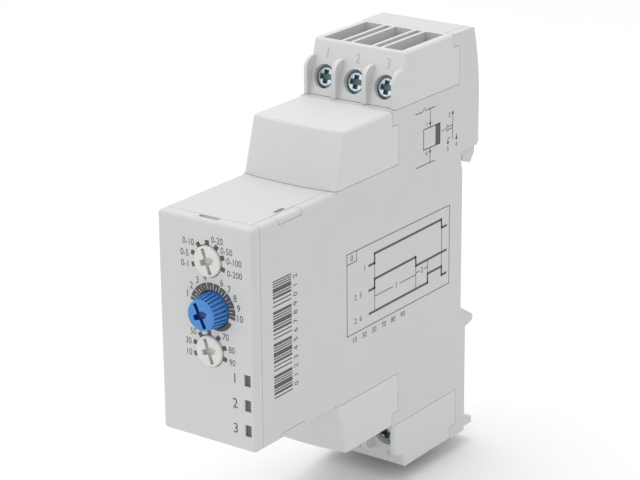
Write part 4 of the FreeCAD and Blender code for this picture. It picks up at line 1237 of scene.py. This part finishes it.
@dataclass
class Studio:
    """Plain pale floor, white surroundings, soft light and the camera."""

    floor_height: float = -48.5
    floor_size: float = 6000.0
    fade_start: float = 350.0
    fade_end: float = 1500.0
    fade_light: float = 0.24
    paper: Colour = (0.90, 0.90, 0.90)
    paper_tooth: Colour = (0.91, 0.91, 0.91)
    ambient: float = 0.86
    azimuth: float = 35.83
    elevation: float = 19.47
    roll: float = -0.52
    lens: float = 127.6
    aim: Triple = (2.825, -39.367, 9.388)
    distance: float = 450.31
    sensor: float = 36.0
    near: float = 10.0
    far: float = 20000.0
    lamps: tuple[tuple[str, Triple, float, float], ...] = (
        ("soft_top", (-120.0, 60.0, 620.0), 500.0, 1.6),
        ("soft_front", (-260.0, -560.0, 260.0), 420.0, 0.35),
    )

    def floor(self) -> None:
        """Lays the floor: a sheet with a faint paper tooth that fades to white far from the part."""
        clear_selection()
        place = (0.0, 0.0, self.floor_height * MM)
        bpy.ops.mesh.primitive_plane_add(size=self.floor_size * MM, location=place)
        sheet = bpy.context.active_object
        sheet.name = "studio_floor"
        bpy.ops.object.mode_set(mode="EDIT")
        bpy.ops.mesh.subdivide(number_cuts=3)
        bpy.ops.object.mode_set(mode="OBJECT")
        freeze(sheet)
        bench = MaterialBench("studio_paper")
        grain = bench.group("grain", Mottle_Size=20.0, Grain_Size=900.0)
        away = bench.add("VectorMath", operation="LENGTH", in_Vector=bench.place)
        fade = bench.add(
            "MapRange",
            in_Value=away.outputs["Value"],
            in_From_Min=self.fade_start * MM,
            in_From_Max=self.fade_end * MM,
            in_To_Max=self.fade_light,
        )
        material = bench.dress(
            Base_Color=bench.blend(grain["Mottle"], self.paper, self.paper_tooth),
            Roughness=0.9,
            Specular_IOR_Level=0.1,
            Emission_Color=(1.0, 1.0, 1.0, 1.0),
            Emission_Strength=bench.maths("MULTIPLY", bench.seen(), fade.outputs[0]),
        )
        sheet.data.materials.append(material)

    def surroundings(self) -> None:
        """Fills the world with even light that shows as plain white to the camera and in gloss."""
        world = bpy.data.worlds.new("studio_white")
        world.use_nodes = True
        bpy.context.scene.world = world
        bench = NodeBench(world.node_tree)
        light = world.node_tree.nodes["Background"].inputs
        extra = bench.maths("MULTIPLY", bench.seen(), 1.0 - self.ambient)
        bench.feed(light["Color"], (1.0, 1.0, 1.0, 1.0))
        bench.feed(light["Strength"], bench.maths("ADD", extra, self.ambient))

    def lamp(self, name: str, place: Triple, size: float, power: float) -> None:
        """Hangs a square soft lamp that points at the part.

        Args:
            name: The lamp's name.
            place: Its place in millimetres.
            size: The side of its panel in millimetres.
            power: Its power in watts.
        """
        clear_selection()
        spot = Vector(place) * MM
        bpy.ops.object.light_add(type="AREA", location=spot)
        lamp = bpy.context.active_object
        lamp.name = name
        lamp.data.size = size * MM
        lamp.data.energy = power
        aim = Vector(self.aim) * MM - spot
        lamp.rotation_mode = "QUATERNION"
        lamp.rotation_quaternion = aim.to_track_quat("-Z", "Y")

    def camera(self) -> None:
        """Places the camera at its viewing angle."""
        azimuth, elevation, roll = (math.radians(v) for v in (self.azimuth, self.elevation, self.roll))
        flat = math.cos(elevation)
        back = Vector((math.sin(azimuth) * flat, -math.cos(azimuth) * flat, math.sin(elevation)))
        level = (-back).cross(Vector((0.0, 0.0, 1.0))).normalized()
        upright = level.cross(-back)
        right = level * math.cos(roll) + upright * math.sin(roll)
        up = upright * math.cos(roll) - level * math.sin(roll)
        clear_selection()
        bpy.ops.object.camera_add()
        camera = bpy.context.active_object
        camera.name = "studio_camera"
        camera.data.lens = self.lens
        camera.data.sensor_width = self.sensor
        camera.data.clip_start = self.near * MM
        camera.data.clip_end = self.far * MM
        turned = Matrix((right, up, back)).transposed().to_4x4()
        place = Vector(self.aim) * MM + back * (self.distance * MM)
        camera.matrix_world = Matrix.Translation(place) @ turned
        bpy.context.scene.camera = camera

    def build(self) -> None:
        """Sets up the whole studio."""
        self.floor()
        self.surroundings()
        for lamp in self.lamps:
            self.lamp(*lamp)
        self.camera()
        bpy.context.scene.view_settings.view_transform = "Standard"
        LOG.info("studio ready")


# ---- whole part ----


def middle_of(node: str) -> Point:
    """The X and Z of the middle of a node's box, in millimetres."""
    low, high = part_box(node)
    middle = (Vector(low) + Vector(high)) / 2 / MM
    return middle.x, middle.z


def main() -> None:
    """Loads the frame, dresses the part and sets up the studio."""
    logging.basicConfig(level=logging.INFO, format="%(name)s: %(message)s")
    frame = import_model()
    dresser = NodeDresser(frame)
    dresser.dress()
    ink = INK.make()
    panel_low, panel_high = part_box("front_panel")
    windows = [middle_of(f"led_window_{number}")[1] for number in (1, 2, 3)]
    FrontPrint(
        dial=middle_of("time_knob"),
        range_selector=middle_of("range_selector"),
        mode_selector=middle_of("mode_selector"),
        face=panel_low[1] / MM,
    ).build(windows, ink)
    SidePrint(face=panel_high[0] / MM).build(ink)
    TerminalNumbers().build(RAISED_SHADED.make())
    ClipSpring().build(dresser.materials["spring_steel"])
    Studio().build()


if __name__ == "__main__":
    main()
